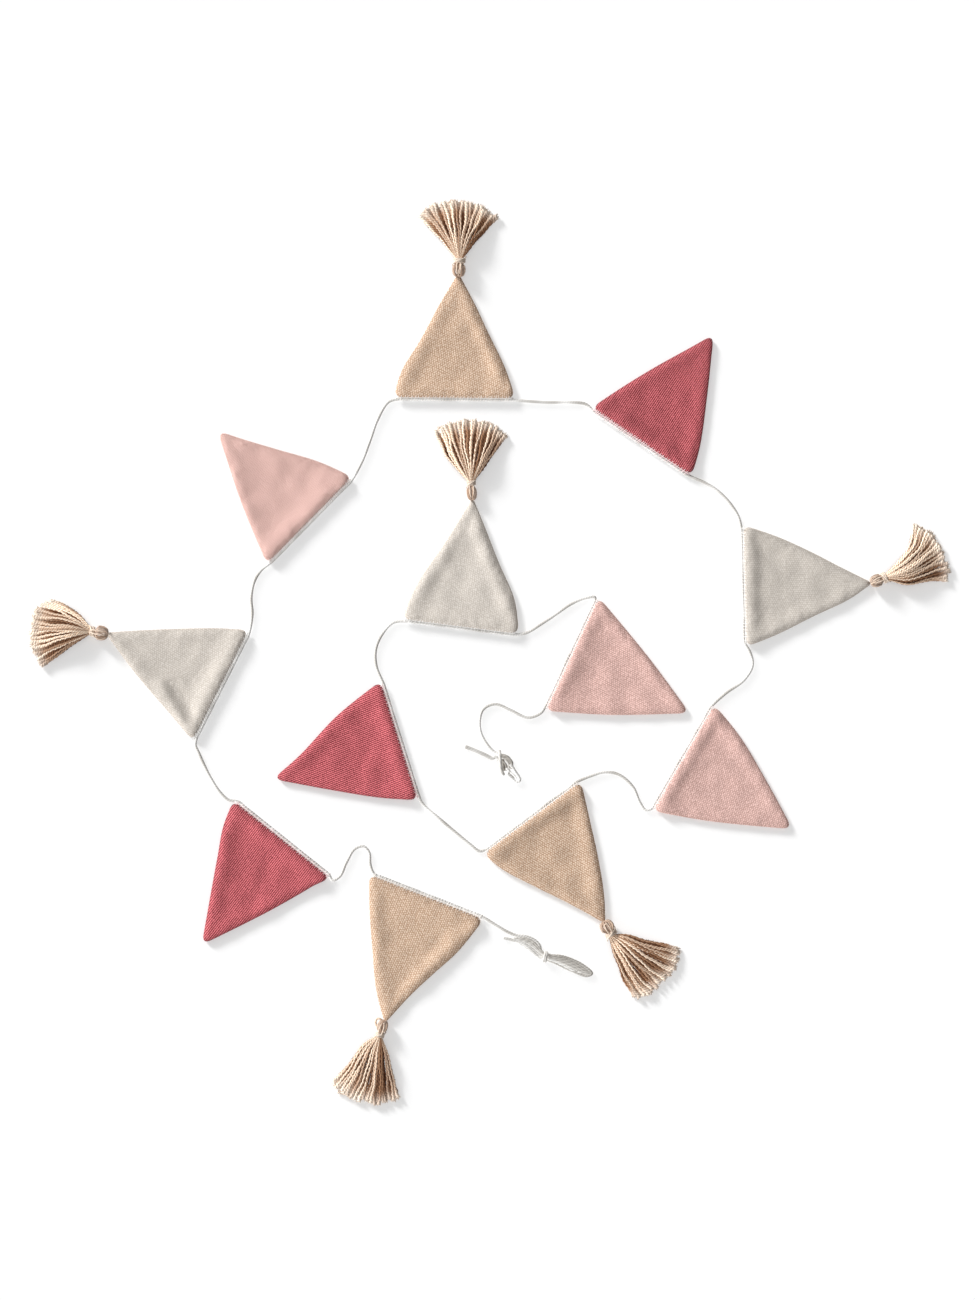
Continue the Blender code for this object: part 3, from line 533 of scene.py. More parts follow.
def through(points, parts=CURVE_PARTS):
    """A smooth curve through the points: a centripetal spline in short steps."""
    points = [np.asarray(p, float) for p in points]
    ends = [2 * points[0] - points[1], *points, 2 * points[-1] - points[-2]]
    curve = []
    for four in zip(ends, ends[1:], ends[2:], ends[3:]):
        steps = [sqrt(np.linalg.norm(q - p)) for p, q in zip(four, four[1:])]
        knots = np.cumsum([0.0, *steps])
        t = np.linspace(knots[1], knots[2], parts, endpoint=False)[:, None]
        row = four
        for level in (1, 2):
            shares = [(t - knots[i]) / (knots[i + level] - knots[i]) for i in range(4 - level)]
            row = [p + (q - p) * share for p, q, share in zip(row, row[1:], shares)]
        curve.extend(row[0] + (row[1] - row[0]) * (t - knots[1]) / (knots[2] - knots[1]))
    return np.array([*curve, points[-1]])


def lengths_along(line):
    """How far along a line each of its points is."""
    return np.concatenate([[0.0], np.cumsum(np.linalg.norm(np.diff(line, axis=0), axis=1))])


def spaced(line, count):
    """This many points, evenly spaced along a line of points."""
    along = lengths_along(line)
    at = np.linspace(0, along[-1], count)
    return np.stack([np.interp(at, along, line[:, k]) for k in range(3)], axis=1)


def stepped(line, step):
    """Points along a line about this step apart."""
    return spaced(line, max(3, round(lengths_along(line)[-1] / step) + 1))


def eased(value, begin, end):
    """From 0 to 1 with a soft start and stop, as value goes from begin to end."""
    share = np.clip((value - begin) / (end - begin), 0, 1)
    return share * share * (3 - 2 * share)


def bump(distance, width):
    """One at no distance, falling smoothly to nothing over about twice the width."""
    return np.exp(-((distance / width) ** 2))


def to_segment(points, begin, end):
    """How far points are, seen from above, from the straight line between two places."""
    start = begin[:2]
    along = (end - begin)[:2]
    share = np.clip((points[..., :2] - start) @ along / (along @ along), 0, 1)
    return np.linalg.norm(points[..., :2] - start - share[..., None] * along, axis=-1)


def noise_at(points, size, seed):
    """Smooth noise at points, about -0.5 to 0.5, with features of this size."""
    flat = points.reshape(-1, points.shape[-1])[:, :2] / size
    values = [noise.noise(Vector((x, y, seed))) for x, y in flat]
    return np.array(values).reshape(points.shape[:-1])


# ---- Meshes


def skin(rings, first, last):
    """The faces of a closed surface through rings of points, after a point at one end and before another."""
    count, sides = rings.shape[:2]
    index = 1 + np.arange(count * sides).reshape(count, sides)
    following = np.roll(index, -1, axis=1)
    quads = np.stack([index[:-1], following[:-1], following[1:], index[1:]], axis=-1).reshape(-1, 4)
    end = count * sides + 1
    begin_fan = [(0, b, a) for a, b in zip(index[0], following[0])]
    end_fan = [(end, a, b) for a, b in zip(index[-1], following[-1])]
    points = np.concatenate([[first], rings.reshape(-1, 3), [last]])
    return points, [*begin_fan, *map(tuple, quads), *end_fan]


def capped(rings):
    """The skin of a tube whose ends are closed at the middle of their rings."""
    return skin(rings, rings[0].mean(axis=0), rings[-1].mean(axis=0))


def joined(skins):
    """Several surfaces as one list of points and one of faces."""
    points, faces, shift = [], [], 0
    for part_points, part_faces in skins:
        points.append(part_points)
        faces.extend(tuple(i + shift for i in face) for face in part_faces)
        shift += len(part_points)
    return np.concatenate(points), faces


def volume(points, faces):
    """Six times the space a closed surface holds, below zero if its faces point inward."""
    threes = np.array([face[:3] for face in faces])
    a, b, c = (points[threes[:, i]] for i in range(3))
    return float((a * np.cross(b, c)).sum())


def linked(name, data):
    """A new object in the scene."""
    made = bpy.data.objects.new(name, data)
    bpy.context.scene.collection.objects.link(made)
    return made


def mesh_piece(name, surface, material, node=None, uv=None, values=None):
    """A smooth mesh piece on the root body, with its material, cloth coordinates and point values. It
    replaces a node if one is given."""
    points, faces = surface
    if volume(points, faces) < 0:
        faces = [face[::-1] for face in faces]
    mesh = bpy.data.meshes.new(name)
    mesh.from_pydata(points, [], faces)
    mesh.shade_smooth()
    mesh.materials.append(material)
    if uv is not None:
        at = np.zeros(len(mesh.loops), np.int32)
        mesh.loops.foreach_get("vertex_index", at)
        mesh.uv_layers.new(name="cloth").data.foreach_set("uv", uv[at].astype(np.float32).ravel())
    for key, value in (values or {}).items():
        target = mesh.attributes.new(key, "FLOAT", "POINT")
        target.data.foreach_set("value", np.asarray(value, np.float32))
    piece = linked(name, mesh)
    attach(piece, "root")
    if node:
        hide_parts(node)
    return piece


# ---- Materials


class Graph:
    """A material's nodes, with short calls for what the cloths and the yarns share."""

    def __init__(self, name, roughness, sheen):
        self.material = bpy.data.materials.new(name)
        self.material.use_nodes = True
        self.tree = self.material.node_tree
        self.shader = self.tree.nodes["Principled BSDF"]
        self.shader.inputs["Roughness"].default_value = roughness
        self.shader.inputs["Specular IOR Level"].default_value = SPECULAR
        self.shader.inputs["Sheen Weight"].default_value = sheen
        self.shader.inputs["Sheen Roughness"].default_value = SHEEN_ROUGHNESS

    def node(self, kind, sources=(), **settings):
        """A node with its settings, and its first inputs linked to or set from sources."""
        made = self.tree.nodes.new(kind)
        for key, value in settings.items():
            setattr(made, key, value)
        for target, source in zip(made.inputs, sources):
            self.feed(target, source)
        return made

    def feed(self, target, source):
        """Links a socket, or sets it from a number or a colour."""
        if isinstance(source, bpy.types.NodeSocket):
            self.tree.links.new(source, target)
        else:
            target.default_value = source

    def math(self, operation, *sources):
        """The outcome of a sum on one or two numbers."""
        return self.node("ShaderNodeMath", sources, operation=operation).outputs[0]

    def noise(self, vector, scale, detail):
        """Smooth noise from 0 to 1 at a vector."""
        made = self.node("ShaderNodeTexNoise")
        self.feed(made.inputs["Vector"], vector)
        made.inputs["Scale"].default_value = scale
        made.inputs["Detail"].default_value = detail
        return made

    def mixed(self, share, first, second, blend="MIX"):
        """One colour over another."""
        made = self.node("ShaderNodeMix", data_type="RGBA", blend_type=blend)
        for target, source in ((0, share), (6, first), (7, second)):
            self.feed(made.inputs[target], source)
        return made.outputs[2]

    def times(self, first, second):
        """Two colours multiplied."""
        return self.mixed(1.0, first, second, "MULTIPLY")

    def wave(self, phase):
        """A wave from 0 to 1 that peaks at each whole number."""
        turned = self.math("COSINE", self.math("MULTIPLY", phase, 2 * pi))
        return self.math("MULTIPLY_ADD", turned, 0.5, 0.5)

    def ranged(self, value, low, high):
        """How far a number is from low to high, kept between 0 and 1."""
        return self.node("ShaderNodeMapRange", (value, low, high)).outputs[0]

    def value(self, name):
        """A number stored on the mesh's points."""
        return self.node("ShaderNodeAttribute", attribute_name=name).outputs["Fac"]

    def place(self):
        """A point's place in its piece's own frame."""
        return self.node("ShaderNodeTexCoord").outputs["Object"]

    def finish(self, colour, height, depth):
        """Sends a colour and a relief to the shader."""
        self.feed(self.shader.inputs["Base Color"], colour)
        raised = self.node("ShaderNodeBump")
        raised.inputs["Strength"].default_value = 1.0
        raised.inputs["Distance"].default_value = depth
        self.feed(raised.inputs["Height"], height)
        self.feed(self.shader.inputs["Normal"], raised.outputs[0])
        return self.material


def weave(cloth):
    """Woven cotton: ribs square to the base, beaded by the weft, and an uneven thickness of the yarn. Its
    colour darkens deeper in the weave, partly its pattern and partly painted shade, and along the rim,
    painted shade.
    """
    graph = Graph(f"{cloth.slot}_weave", cloth.roughness, CLOTH_SHEEN)
    flat = graph.node("ShaderNodeUVMap", uv_map="cloth").outputs[0]
    stray = graph.noise(flat, WANDER_SCALE, FINE_DETAIL).outputs["Color"]
    wander = graph.node("ShaderNodeVectorMath", (stray, (0.5, 0.5, 0.5)), operation="SUBTRACT").outputs[0]
    shifted = graph.node("ShaderNodeVectorMath", (wander, (cloth.wander, cloth.wander, 0.0), flat),
                         operation="MULTIPLY_ADD").outputs[0]
    parts = graph.node("ShaderNodeSeparateXYZ", (shifted,)).outputs
    rib = graph.math("DIVIDE", parts[0], cloth.rib)
    number = graph.math("FLOOR", graph.math("ADD", rib, 0.5))
    weft = graph.math("DIVIDE", parts[1], cloth.rib / sin(radians(WEAVE_SLANT)))
    weft = graph.math("MULTIPLY_ADD", number, cos(radians(WEAVE_SLANT)), weft)
    bead = graph.math("MULTIPLY_ADD", graph.wave(weft), cloth.beads, 1 - cloth.beads)
    height = graph.math("MULTIPLY", graph.wave(rib), bead)
    slub = graph.math("SUBTRACT", graph.noise(flat, SLUB_SCALE, 0.0).outputs[0], 0.5)
    height = graph.math("MULTIPLY_ADD", slub, cloth.mottle, height)
    fibre = graph.noise(graph.place(), CLOTH_FIBRE_SCALE, FINE_DETAIL).outputs[0]
    lit = graph.math("MULTIPLY_ADD", graph.math("SUBTRACT", fibre, 0.5), CLOTH_FIBRE_SHARE, height)
    # From the gaps' colour to the yarn's with the height in the weave: partly its pattern, partly painted
    # shade
    woven = graph.mixed(graph.ranged(lit, 0.0, LIGHT_FROM), (*cloth.dark, 1), (*cloth.light, 1))
    patch = graph.noise(graph.place(), PATCH_SCALE, PATCH_DETAIL).outputs[0]
    tone = graph.node("ShaderNodeValToRGB", (patch,))
    patch_colours = ((cloth.patch, cloth.patch, cloth.patch, 1), (1, 1, 1, 1))
    for stop, position, colour in zip(tone.color_ramp.elements, PATCH_RANGE, patch_colours):
        stop.position = position
        stop.color = colour
    worn = graph.times(woven, tone.outputs[0])
    # Painted shade: the cloth is darker and a little warmer along its rim, all round
    edge = graph.mixed(graph.value("rim"), (1, 1, 1, 1), (*(cloth.edge * c for c in RIM_PAINTED_SHADE_TINT), 1))
    dyed = graph.times(graph.times(worn, edge), graph.value("dye"))
    return graph.finish(dyed, height, cloth.depth)


def yarn(row):
    """Spun yarn: lighter on its plies' crests and darker in their grooves, painted shade; darker as a
    strand's tone falls; paler where it frays.
    """
    graph = Graph(row.name, YARN_ROUGHNESS, YARN_SHEEN)
    fibre = graph.noise(graph.place(), YARN_FIBRE_SCALE, FINE_DETAIL).outputs[0]
    fibre = graph.math("SUBTRACT", fibre, 0.5)
    lit = graph.math("MULTIPLY_ADD", fibre, YARN_FIBRE_SHARE, graph.value("crest"))
    # Painted shade: darker in the grooves between the plies, lighter on their crests
    colour = graph.mixed(graph.ranged(lit, *CREST_RANGE), (*row.groove, 1), (*row.crest, 1))
    tone = graph.node("ShaderNodeValToRGB", (graph.value("tone"),))
    ramp = tone.color_ramp
    ramp.elements[0].color = (*row.shade, 1)
    ramp.elements[1].color = (1, 1, 1, 1)
    ramp.elements.new(0.5).color = (*(sqrt(c) for c in row.shade), 1)
    toned = graph.times(colour, tone.outputs[0])
    return graph.finish(graph.mixed(graph.value("tip"), toned, (*row.tip, 1)), lit, row.depth)


def thread_for(cloth):
    """The yarn of a cloth's sewing thread: its own colour, much paler."""
    pale = tuple(c + (THREAD_WHITE - c) * THREAD_PALE for c in cloth.light)
    groove = tuple(c * THREAD_GROOVE for c in pale)
    return Yarn(f"{cloth.slot}_thread", pale, groove, pale, THREAD_SHADE, THREAD_DEPTH)


def plain(name, colour, roughness):
    """An even matt surface."""
    graph = Graph(name, roughness, 0.0)
    graph.shader.inputs["Base Color"].default_value = (*colour, 1)
    return graph.material


# ---- Camera, light and surface


def camera():
    """Straight above the middle of the picture."""
    data = bpy.data.cameras.new("camera")
    data.lens = LENS
    data.sensor_width = SENSOR
    data.clip_end = 2 * FLOOR_SIZE
    made = linked("camera", data)
    height = PICTURE_PX[1] * SCALE * LENS / SENSOR
    made.location = place((PICTURE_PX[0] / 2, PICTURE_PX[1] / 2), height)
    bpy.context.scene.camera = made


def lamp_side(row):
    """The level direction that a lamp shines from."""
    return np.array((cos(radians(row.turn)), sin(radians(row.turn)), 0.0))


def lamp(row):
    """A soft lamp, very far off."""
    data = bpy.data.lights.new(row.name, "SUN")
    data.energy = row.strength
    data.angle = radians(row.spread)
    data.use_shadow = row.shadows
    made = linked(row.name, data)
    turn, height = radians(row.turn), radians(row.height)
    source = Vector((cos(turn) * cos(height), sin(turn) * cos(height), sin(height)))
    made.rotation_mode = "QUATERNION"
    made.rotation_quaternion = source.to_track_quat("Z", "Y")
    return made


def light(cord_pieces):
    """Two low lamps from the upper left, a fill from the lower left, and an even pale sky. The cord's pieces
    throw no shadow in the light of the lamps that shine past it."""
    clear = bpy.data.collections.new("clear")
    for piece in cord_pieces:
        clear.objects.link(piece)
    for entry in clear.collection_objects:
        entry.light_linking.link_state = "EXCLUDE"
    for row in LAMPS:
        made = lamp(row)
        if row.past_cord:
            made.light_linking.blocker_collection = clear
    world = bpy.data.worlds.new("world")
    world.use_nodes = True
    sky = world.node_tree.nodes["Background"]
    sky.inputs["Color"].default_value = (1.0, 1.0, 1.0, 1.0)
    sky.inputs["Strength"].default_value = SKY_STRENGTH
    bpy.context.scene.world = world
    bpy.context.scene.view_settings.view_transform = "Standard"


def floor():
    """The plain pale surface that the bunting lies on."""
    half = FLOOR_SIZE / 2
    mesh = bpy.data.meshes.new("surface")
    mesh.from_pydata([(-half, -half, 0), (half, -half, 0), (half, half, 0), (-half, half, 0)], [], [range(4)])
    mesh.materials.append(plain("surface_white", FLOOR_COLOUR, FLOOR_ROUGHNESS))
    made = linked("surface", mesh)
    made.location.z = -FLOOR_DROP


# ---- Twisted cord and yarn


def sides_of(path):
    """For each point of a path, two directions square to it that turn as little as they can."""
    ahead = unit(np.gradient(path, axis=0))
    side = np.cross(ahead[0], UP)
    if np.linalg.norm(side) < 0.1:
        side = np.cross(ahead[0], (1.0, 0.0, 0.0))
    found = []
    for direction in ahead:
        side = side - direction * (side @ direction)
        side = side / sqrt(side @ side)
        found.append(side)
    found = np.array(found)
    return found, np.cross(found, ahead)


def twisted(path, radius, pitch, count, groove, turn=0.0, wide=1.0):
    """Two plies twisted along a path: its rings of points, and how near each point is to a ply's crest."""
    angle = np.linspace(0, 2 * pi, count, endpoint=False)
    section = groove * abs(np.cos(angle)) + np.sqrt((1 - groove) ** 2 - (groove * np.sin(angle)) ** 2)
    turned = angle[None, :] + turn + lengths_along(path)[:, None] * 2 * pi / pitch
    side, up = sides_of(path)
    size = np.broadcast_to(radius, len(path))[:, None] * section[None, :]
    wide = np.broadcast_to(wide, len(path))[:, None]
    rings = path[:, None] + (size * wide * np.cos(turned))[..., None] * side[:, None]
    rings = rings + (size * np.sin(turned))[..., None] * up[:, None]
    rings[..., 2] = np.maximum(rings[..., 2], LEAST_CLEARANCE)
    crest = np.tile(abs(np.cos(angle)) ** CREST_POWER, (len(path), 1))
    return rings, crest


def around_ends(values, rings):
    """A value for each point of a capped tube, from one for each point of its rings."""
    spread = np.broadcast_to(values, rings.shape[:2]).ravel()
    return np.concatenate([spread[:1], spread, spread[-1:]])


# A strand of yarn: its line, its radius there, and how light, how frayed and how flattened it is
Strand = namedtuple("Strand", "path radius tone tip wide", defaults=(1.0, 0.0, 1.0))


def strands(made, pitch=YARN_PITCH, sides=YARN_SIDES, groove=YARN_GROOVE):
    """Many strands as one surface, with the values that their material reads."""
    skins, values = [], {"crest": [], "tip": [], "tone": []}
    for i, row in enumerate(made):
        rings, crest = twisted(row.path, row.radius, pitch, sides, groove, i * STRAND_TURN, row.wide)
        skins.append(capped(rings))
        values["crest"].append(around_ends(crest, rings))
        for key in ("tip", "tone"):
            along = np.broadcast_to(getattr(row, key), len(row.path))[:, None]
            values[key].append(around_ends(along, rings))
    return joined(skins), {key: np.concatenate(value) for key, value in values.items()}


def strand_piece(name, made, material, slot, node=None, **twist):
    """A mesh piece made of strands, which replaces a node if one is given."""
    surface, values = strands(made, **twist)
    return mesh_piece(name, surface, material, node, values=values)


def drawn(node, step):
    """The strands of a knot or a tassel whose lines are in the table."""
    found = []
    for row in DRAWN.get(node, ()):
        line = through([place(point, point[2] / 1000) for point in row.points])
        found.append(Strand(stepped(line, step), row.radius, row.tone))
    return found


# ---- Cord


def corners(row):
    """A pennant's corners: the start and the end of its base, and its tip."""
    return place(row.start), place(row.end), place(row.tip)


def outward(row):
    """The level direction from a pennant's base to the cord beside it."""
    start, end, tip = corners(row)
    out = across(end - start)
    return out if out @ (tip - start) < 0 else -out


def base_length(row):
    """How long a pennant's base is."""
    return np.linalg.norm(place(row.end) - place(row.start))


def base_stretch(row):
    """The cord's route along a pennant's base: just outside it, from its start to its end."""
    start, end, _ = corners(row)
    beside = outward(row) * (CORD_DIAMETER / 2 + CORD_ASIDE)
    return [start + (end - start) * share + beside for share in SEWN_AT]


def knot_axis(tie):
    """A knot's direction, from the cord's side to the loop's."""
    return unit(place(tie.far_face) - place(tie.near_face))


def leaving(tie, far, left):
    """How a strand leaves a knot: square to its near or far face, left or right of its middle."""
    axis = knot_axis(tie)
    face = place(tie.far_face if far else tie.near_face)
    start = face + across(axis) * (STRAND_ASIDE if left else -STRAND_ASIDE)
    away = axis if far else -axis
    return [start - away * INTO_KNOT, start + away * STRAND_SQUARE]


def cord_path(begin, middle, finish=(), rise=0.0):
    """The smooth line of a piece of cord that leaves a knot and, if it has a finish, meets a knot again."""
    curve = through([*begin, *middle, *finish])
    away = np.linalg.norm((curve - begin[0])[:, :2], axis=1)
    curve[:, 2] = CORD_DIAMETER / 2 + CORD_GAP + rise * bump(away, RISE_WIDTH)
    return stepped(curve, CORD_STEP)


def painted_light_beside_shaded_bases(line):
    """How much painted light each point of the cord's line gets: up to one beside a base that faces away from
    the light, where the cloth shades it, and nothing beside one that faces it or further off."""
    found = []
    for row in PENNANTS:
        start, end, _ = corners(row)
        away = np.maximum(to_segment(line, start, end) - CORD_ASIDE, 0)
        found.append(bump(away, CORD_DIAMETER) * (1 - outward(row) @ lamp_side(LAMPS[0])) / 2)
    return np.max(found, axis=0)


def rope(name, line, material, node, wide=1.0, tone=CORD_TONE):
    """A piece of twisted cord along a line."""
    radius = CORD_DIAMETER / 2 * CORD_FLAT
    tone = np.clip(tone + CORD_MOTTLE * noise_at(line, CORD_MOTTLE_SIZE, CORD_MOTTLE_SEED), 0, 1)
    made = [Strand(line, radius, tone, 0.0, wide * CORD_WIDE)]
    return strand_piece(name, made, material, "cord_white", node,
                        pitch=CORD_PITCH, sides=CORD_SIDES, groove=CORD_GROOVE)


def ring(tie):
    """The turns of cord round the strands in a knot, side by side, from its underside."""
    axis = knot_axis(tie)
    middle = (place(tie.near_face) + place(tie.far_face)) / 2
    half = CORD_DIAMETER / 2
    turn = np.linspace(-0.5 * pi, (2 * RING_TURNS - 0.5) * pi, RING_POINTS * RING_TURNS)
    along = (turn - turn.mean()) / (turn[-1] - turn[0]) * CORD_DIAMETER
    aside = (tie.radius - half) * np.cos(turn)
    line = middle + along[:, None] * axis + aside[:, None] * across(axis)
    line[:, 2] = KNOT_HEIGHT / 2 + (KNOT_HEIGHT / 2 - half) * np.sin(turn)
    return line


def knot(tie, material):
    """A knotted end: its drawn strands, and turns of cord round them where the end is bound."""
    node = f"tie_{tie.name}_knot"
    made = drawn(node, CORD_STEP)
    if tie.bound:
        made.append(Strand(stepped(ring(tie), CORD_STEP), CORD_DIAMETER / 2, BOUND_TONE))
    return strand_piece(f"{node}_rope", made, material, "cord_white", node,
                        pitch=KNOT_PITCH, sides=CORD_SIDES)


def cords(material):
    """The cord, and each end's knot, loop and tail."""
    route = []
    for row, link in zip(PENNANTS, LINKS):
        route += [place(p) for p in link]
        route += base_stretch(row)
    route += [place(p) for p in LINKS[-1]]
    begin, finish = (leaving(tie, far=False, left=True) for tie in TIES)
    path = cord_path(begin, route, finish[::-1])
    # Painted light: the cord is made paler beside the bases that face away from the light, where the cloth
    # shades it
    main = rope("cord_rope", path, material, "cord", tone=CORD_TONE + SHADED_SIDE_PAINTED_LIGHT * painted_light_beside_shaded_bases(path))
    pieces = [main]
    for tie in TIES:
        out, back = (leaving(tie, far=True, left=left) for left in (True, False))
        line = cord_path(out, map(place, tie.loop), back[::-1], tie.rise)
        loop = rope(f"tie_{tie.name}_loop_rope", line, material, f"tie_{tie.name}_loop", tone=tie.loop_tone)
        line = cord_path(leaving(tie, far=False, left=False), map(place, tie.tail))
        tail = rope(f"tie_{tie.name}_tail_rope", line, material, f"tie_{tie.name}_tail", tie.tail_wide)
        pieces += [loop, tail]
    knots = [knot(tie, material) for tie in TIES]
    return pieces + knots


# ---- Pennants


def trimmed(side, start_cut, end_cut):
    """A side without the stretches that its rounded corners take."""
    fine = stepped(side, OUTLINE_STEP)
    along = lengths_along(fine)
    return fine[(along >= start_cut) & (along <= along[-1] - end_cut)]


def rounded(before, corner, after):
    """The inner points of a curve that leads from one point past a corner to another."""
    share = np.linspace(0, 1, CORNER_POINTS)[1:-1, None]
    near = before + (corner - before) * share
    far = corner + (after - corner) * share
    return near + (far - near) * share


def outline(row):
    """A pennant's edge as evenly spaced points, anticlockwise seen from above, and the area inside it."""
    start, end, tip = corners(row)
    out = outward(row) * BASE_OUT
    start, end = start + out, end + out
    sides = (
        np.array([start, end]),
        through([end, *map(place, row.end_side), tip]),
        through([tip, *map(place, row.start_side[::-1]), start]),
    )
    turns = (end, tip, start)
    tip_cut = TASSEL_TIP_CUT if row.cloth in ("cream", "tan") else PLAIN_TIP_CUT
    cuts = (CORNER_CUT, tip_cut, CORNER_CUT)
    straight = [trimmed(side, cuts[i - 1], cuts[i]) for i, side in enumerate(sides)]
    points = []
    for i, side in enumerate(straight):
        points.extend(side)
        points.extend(rounded(side[-1], turns[i], straight[(i + 1) % 3][0]))
    edge = spaced(np.array([*points, points[0]]), RIM_POINTS + 1)[:-1]
    following = np.roll(edge, -1, axis=0)
    area = (edge[:, 0] * following[:, 1] - edge[:, 1] * following[:, 0]).sum() / 2
    return (edge, area) if area > 0 else (edge[::-1], -area)


def incentre(row):
    """The middle of the circle that touches a pennant's three sides, and that circle's radius."""
    start, end, tip = corners(row)
    sides = [np.linalg.norm(side) for side in (tip - end, tip - start, end - start)]
    middle = (start * sides[0] + end * sides[1] + tip * sides[2]) / sum(sides)
    return middle, abs(np.cross(end - start, tip - start)[2]) / sum(sides)


def edge_height(inset):
    """The height of the plain rolled edge this far in: the seam, the crest of the roll, then the middle."""
    rim = np.sqrt(1 - (1 - np.clip(inset / RIM_INSET, 0, 1)) ** 2)
    roll = 1 - (1 - np.clip(inset / ROLL_INSET, 0, 1)) ** 2
    settle = 1 - bump(np.maximum(inset - ROLL_INSET, 0), SETTLE_WIDTH)
    height = SEAM_HEIGHT + (RIM_HEIGHT - SEAM_HEIGHT) * rim
    return height + (ROLL_HEIGHT - RIM_HEIGHT) * roll - SETTLE * settle


def ripples(row, points, inset):
    """How much higher or lower a pennant's cloth is for its corners, creases, wrinkles and puckers."""
    extra = np.zeros(points.shape[:-1])
    for corner in corners(row):
        away = np.linalg.norm((points - corner)[..., :2], axis=-1)
        extra += CORNER_RISE * bump(away, CORNER_WIDTH)
    for crease in CREASES:
        if crease.pennant == row.number:
            away = to_segment(points, place(crease.begin), place(crease.end))
            extra += crease.rise * bump(away, crease.width)
    extra += WRINKLE * noise_at(points, WRINKLE_SIZE, row.number)
    extra += CRUMPLE * noise_at(points, CRUMPLE_SIZE, row.number + 0.25)
    extra += PUCKER * noise_at(points, PUCKER_SIZE, row.number + 0.5) * bump(inset - EDGE_EASE, PUCKER_WIDTH)
    return extra


def relief(row, points, inset):
    """The height of a pennant's outer face at points this far inside its edge."""
    rim = np.clip(inset / RIM_INSET, 0, 1)
    inside = np.clip(inset / EDGE_EASE, 0, 1)
    from_base = to_segment(points, place(row.start), place(row.end))
    height = edge_height(inset) + BASE_RISE * rim * bump(np.maximum(from_base - ROLL_INSET, 0), HEM_WIDTH)
    height = height + ripples(row, points, inset) * inside
    least = SEAM_HEIGHT + (LEAST_HEIGHT - SEAM_HEIGHT) * rim
    ease = LEAST_EASE * inside
    return least + (height - least + np.sqrt((height - least) ** 2 + ease**2)) / 2


def drawn_in(edge, middle, radius, insets):
    """The outline drawn in by each inset, as rings of level points."""
    shares = 1 - np.asarray(insets) / radius
    return middle + (edge - middle) * shares[:, None, None]


def with_height(rings, height):
    """The rings, raised to this height."""
    raised = rings.copy()
    raised[..., 2] = height
    return raised


def cloth_values(row, insets):
    """For each point of a pennant's cloth: how much painted shade it takes from nearness to the edge, and how
    its dye came out.
    """
    rim = np.concatenate([[0.0], np.repeat(bump(insets, RIM_PAINTED_SHADE_WIDTH), RIM_POINTS), [0.0]])
    return {"rim": rim, "dye": np.full(len(rim), DYES.get(row.number, 1.0))}


def cloth_uv(row, points):
    """Each point in the cloth's own directions, which are turned from the base and the line square to it."""
    start, end, _ = corners(row)
    along = unit(end - start)
    inward = -outward(row)
    grain = radians(GRAINS.get(row.number, 0.0))
    warp = along * cos(grain) + inward * sin(grain)
    weft = inward * cos(grain) - along * sin(grain)
    away = points - start
    return np.stack([away @ warp, away @ weft], axis=1)


def cloth_piece(row, face, surface, insets, material):
    """The mesh piece of a pennant's front or back."""
    node = f"pennant_{row.number:02d}_{face}"
    return mesh_piece(f"{node}_cloth", surface, material, node,
                      cloth_uv(row, surface[0]), cloth_values(row, insets))


def front(row, edge, area, material, pieces):
    """The upper cloth: rolled down to the seam all round, crowned, creased and puckered."""
    middle, radius = incentre(row)
    even = np.arange(ROLL_RINGS[-1] + RING_STEP, radius * LAST_RING, RING_STEP)
    insets = np.concatenate([ROLL_RINGS, even])
    outer = drawn_in(edge, middle, radius, insets)
    outer = with_height(outer, relief(row, outer, insets[:, None]))
    under = drawn_in(edge, middle, radius, UNDER_RINGS)
    lower = relief(row, under, np.array(UNDER_RINGS)[:, None]) - CLOTH
    lower = np.maximum(lower, CLOTH + SEAM_GAP)
    lower[0] = SEAM_HEIGHT
    under = with_height(under, lower)
    top = with_height(middle[None], relief(row, middle[None], np.array([radius])))[0]
    surface = skin(np.concatenate([under[::-1], outer]), top - CLOTH * UP, top)
    piece = cloth_piece(row, "front", surface, np.concatenate([UNDER_RINGS[::-1], insets]), material)
    sheet(row, area)


def back(row, edge, area, material):
    """The lower cloth: flat on the surface and rolled up to the seam all round."""
    middle, radius = incentre(row)
    seam = SEAM_HEIGHT - SEAM_GAP
    outer = drawn_in(edge, middle, radius, BACK_RINGS)
    round_in = np.clip(np.array(BACK_RINGS) / BACK_ROLL, 0, 1)
    outer = with_height(outer, (seam * (1 - np.sqrt(1 - (1 - round_in) ** 2)))[:, None])
    upper = drawn_in(edge, middle, radius, UNDER_RINGS)
    drop = eased(np.array(UNDER_RINGS), *UNDER_ROLL)
    upper = with_height(upper, (seam + (CLOTH - seam) * drop)[:, None])
    surface = skin(np.concatenate([upper[::-1], outer]), middle + CLOTH * UP, middle)
    piece = cloth_piece(row, "back", surface, np.concatenate([UNDER_RINGS[::-1], BACK_RINGS]), material)
    sheet(row, area)


def sheet(row, area):
    """Works out how long a pennant's base is, and does nothing with it."""
    base = base_length(row)


# ---- Sewing


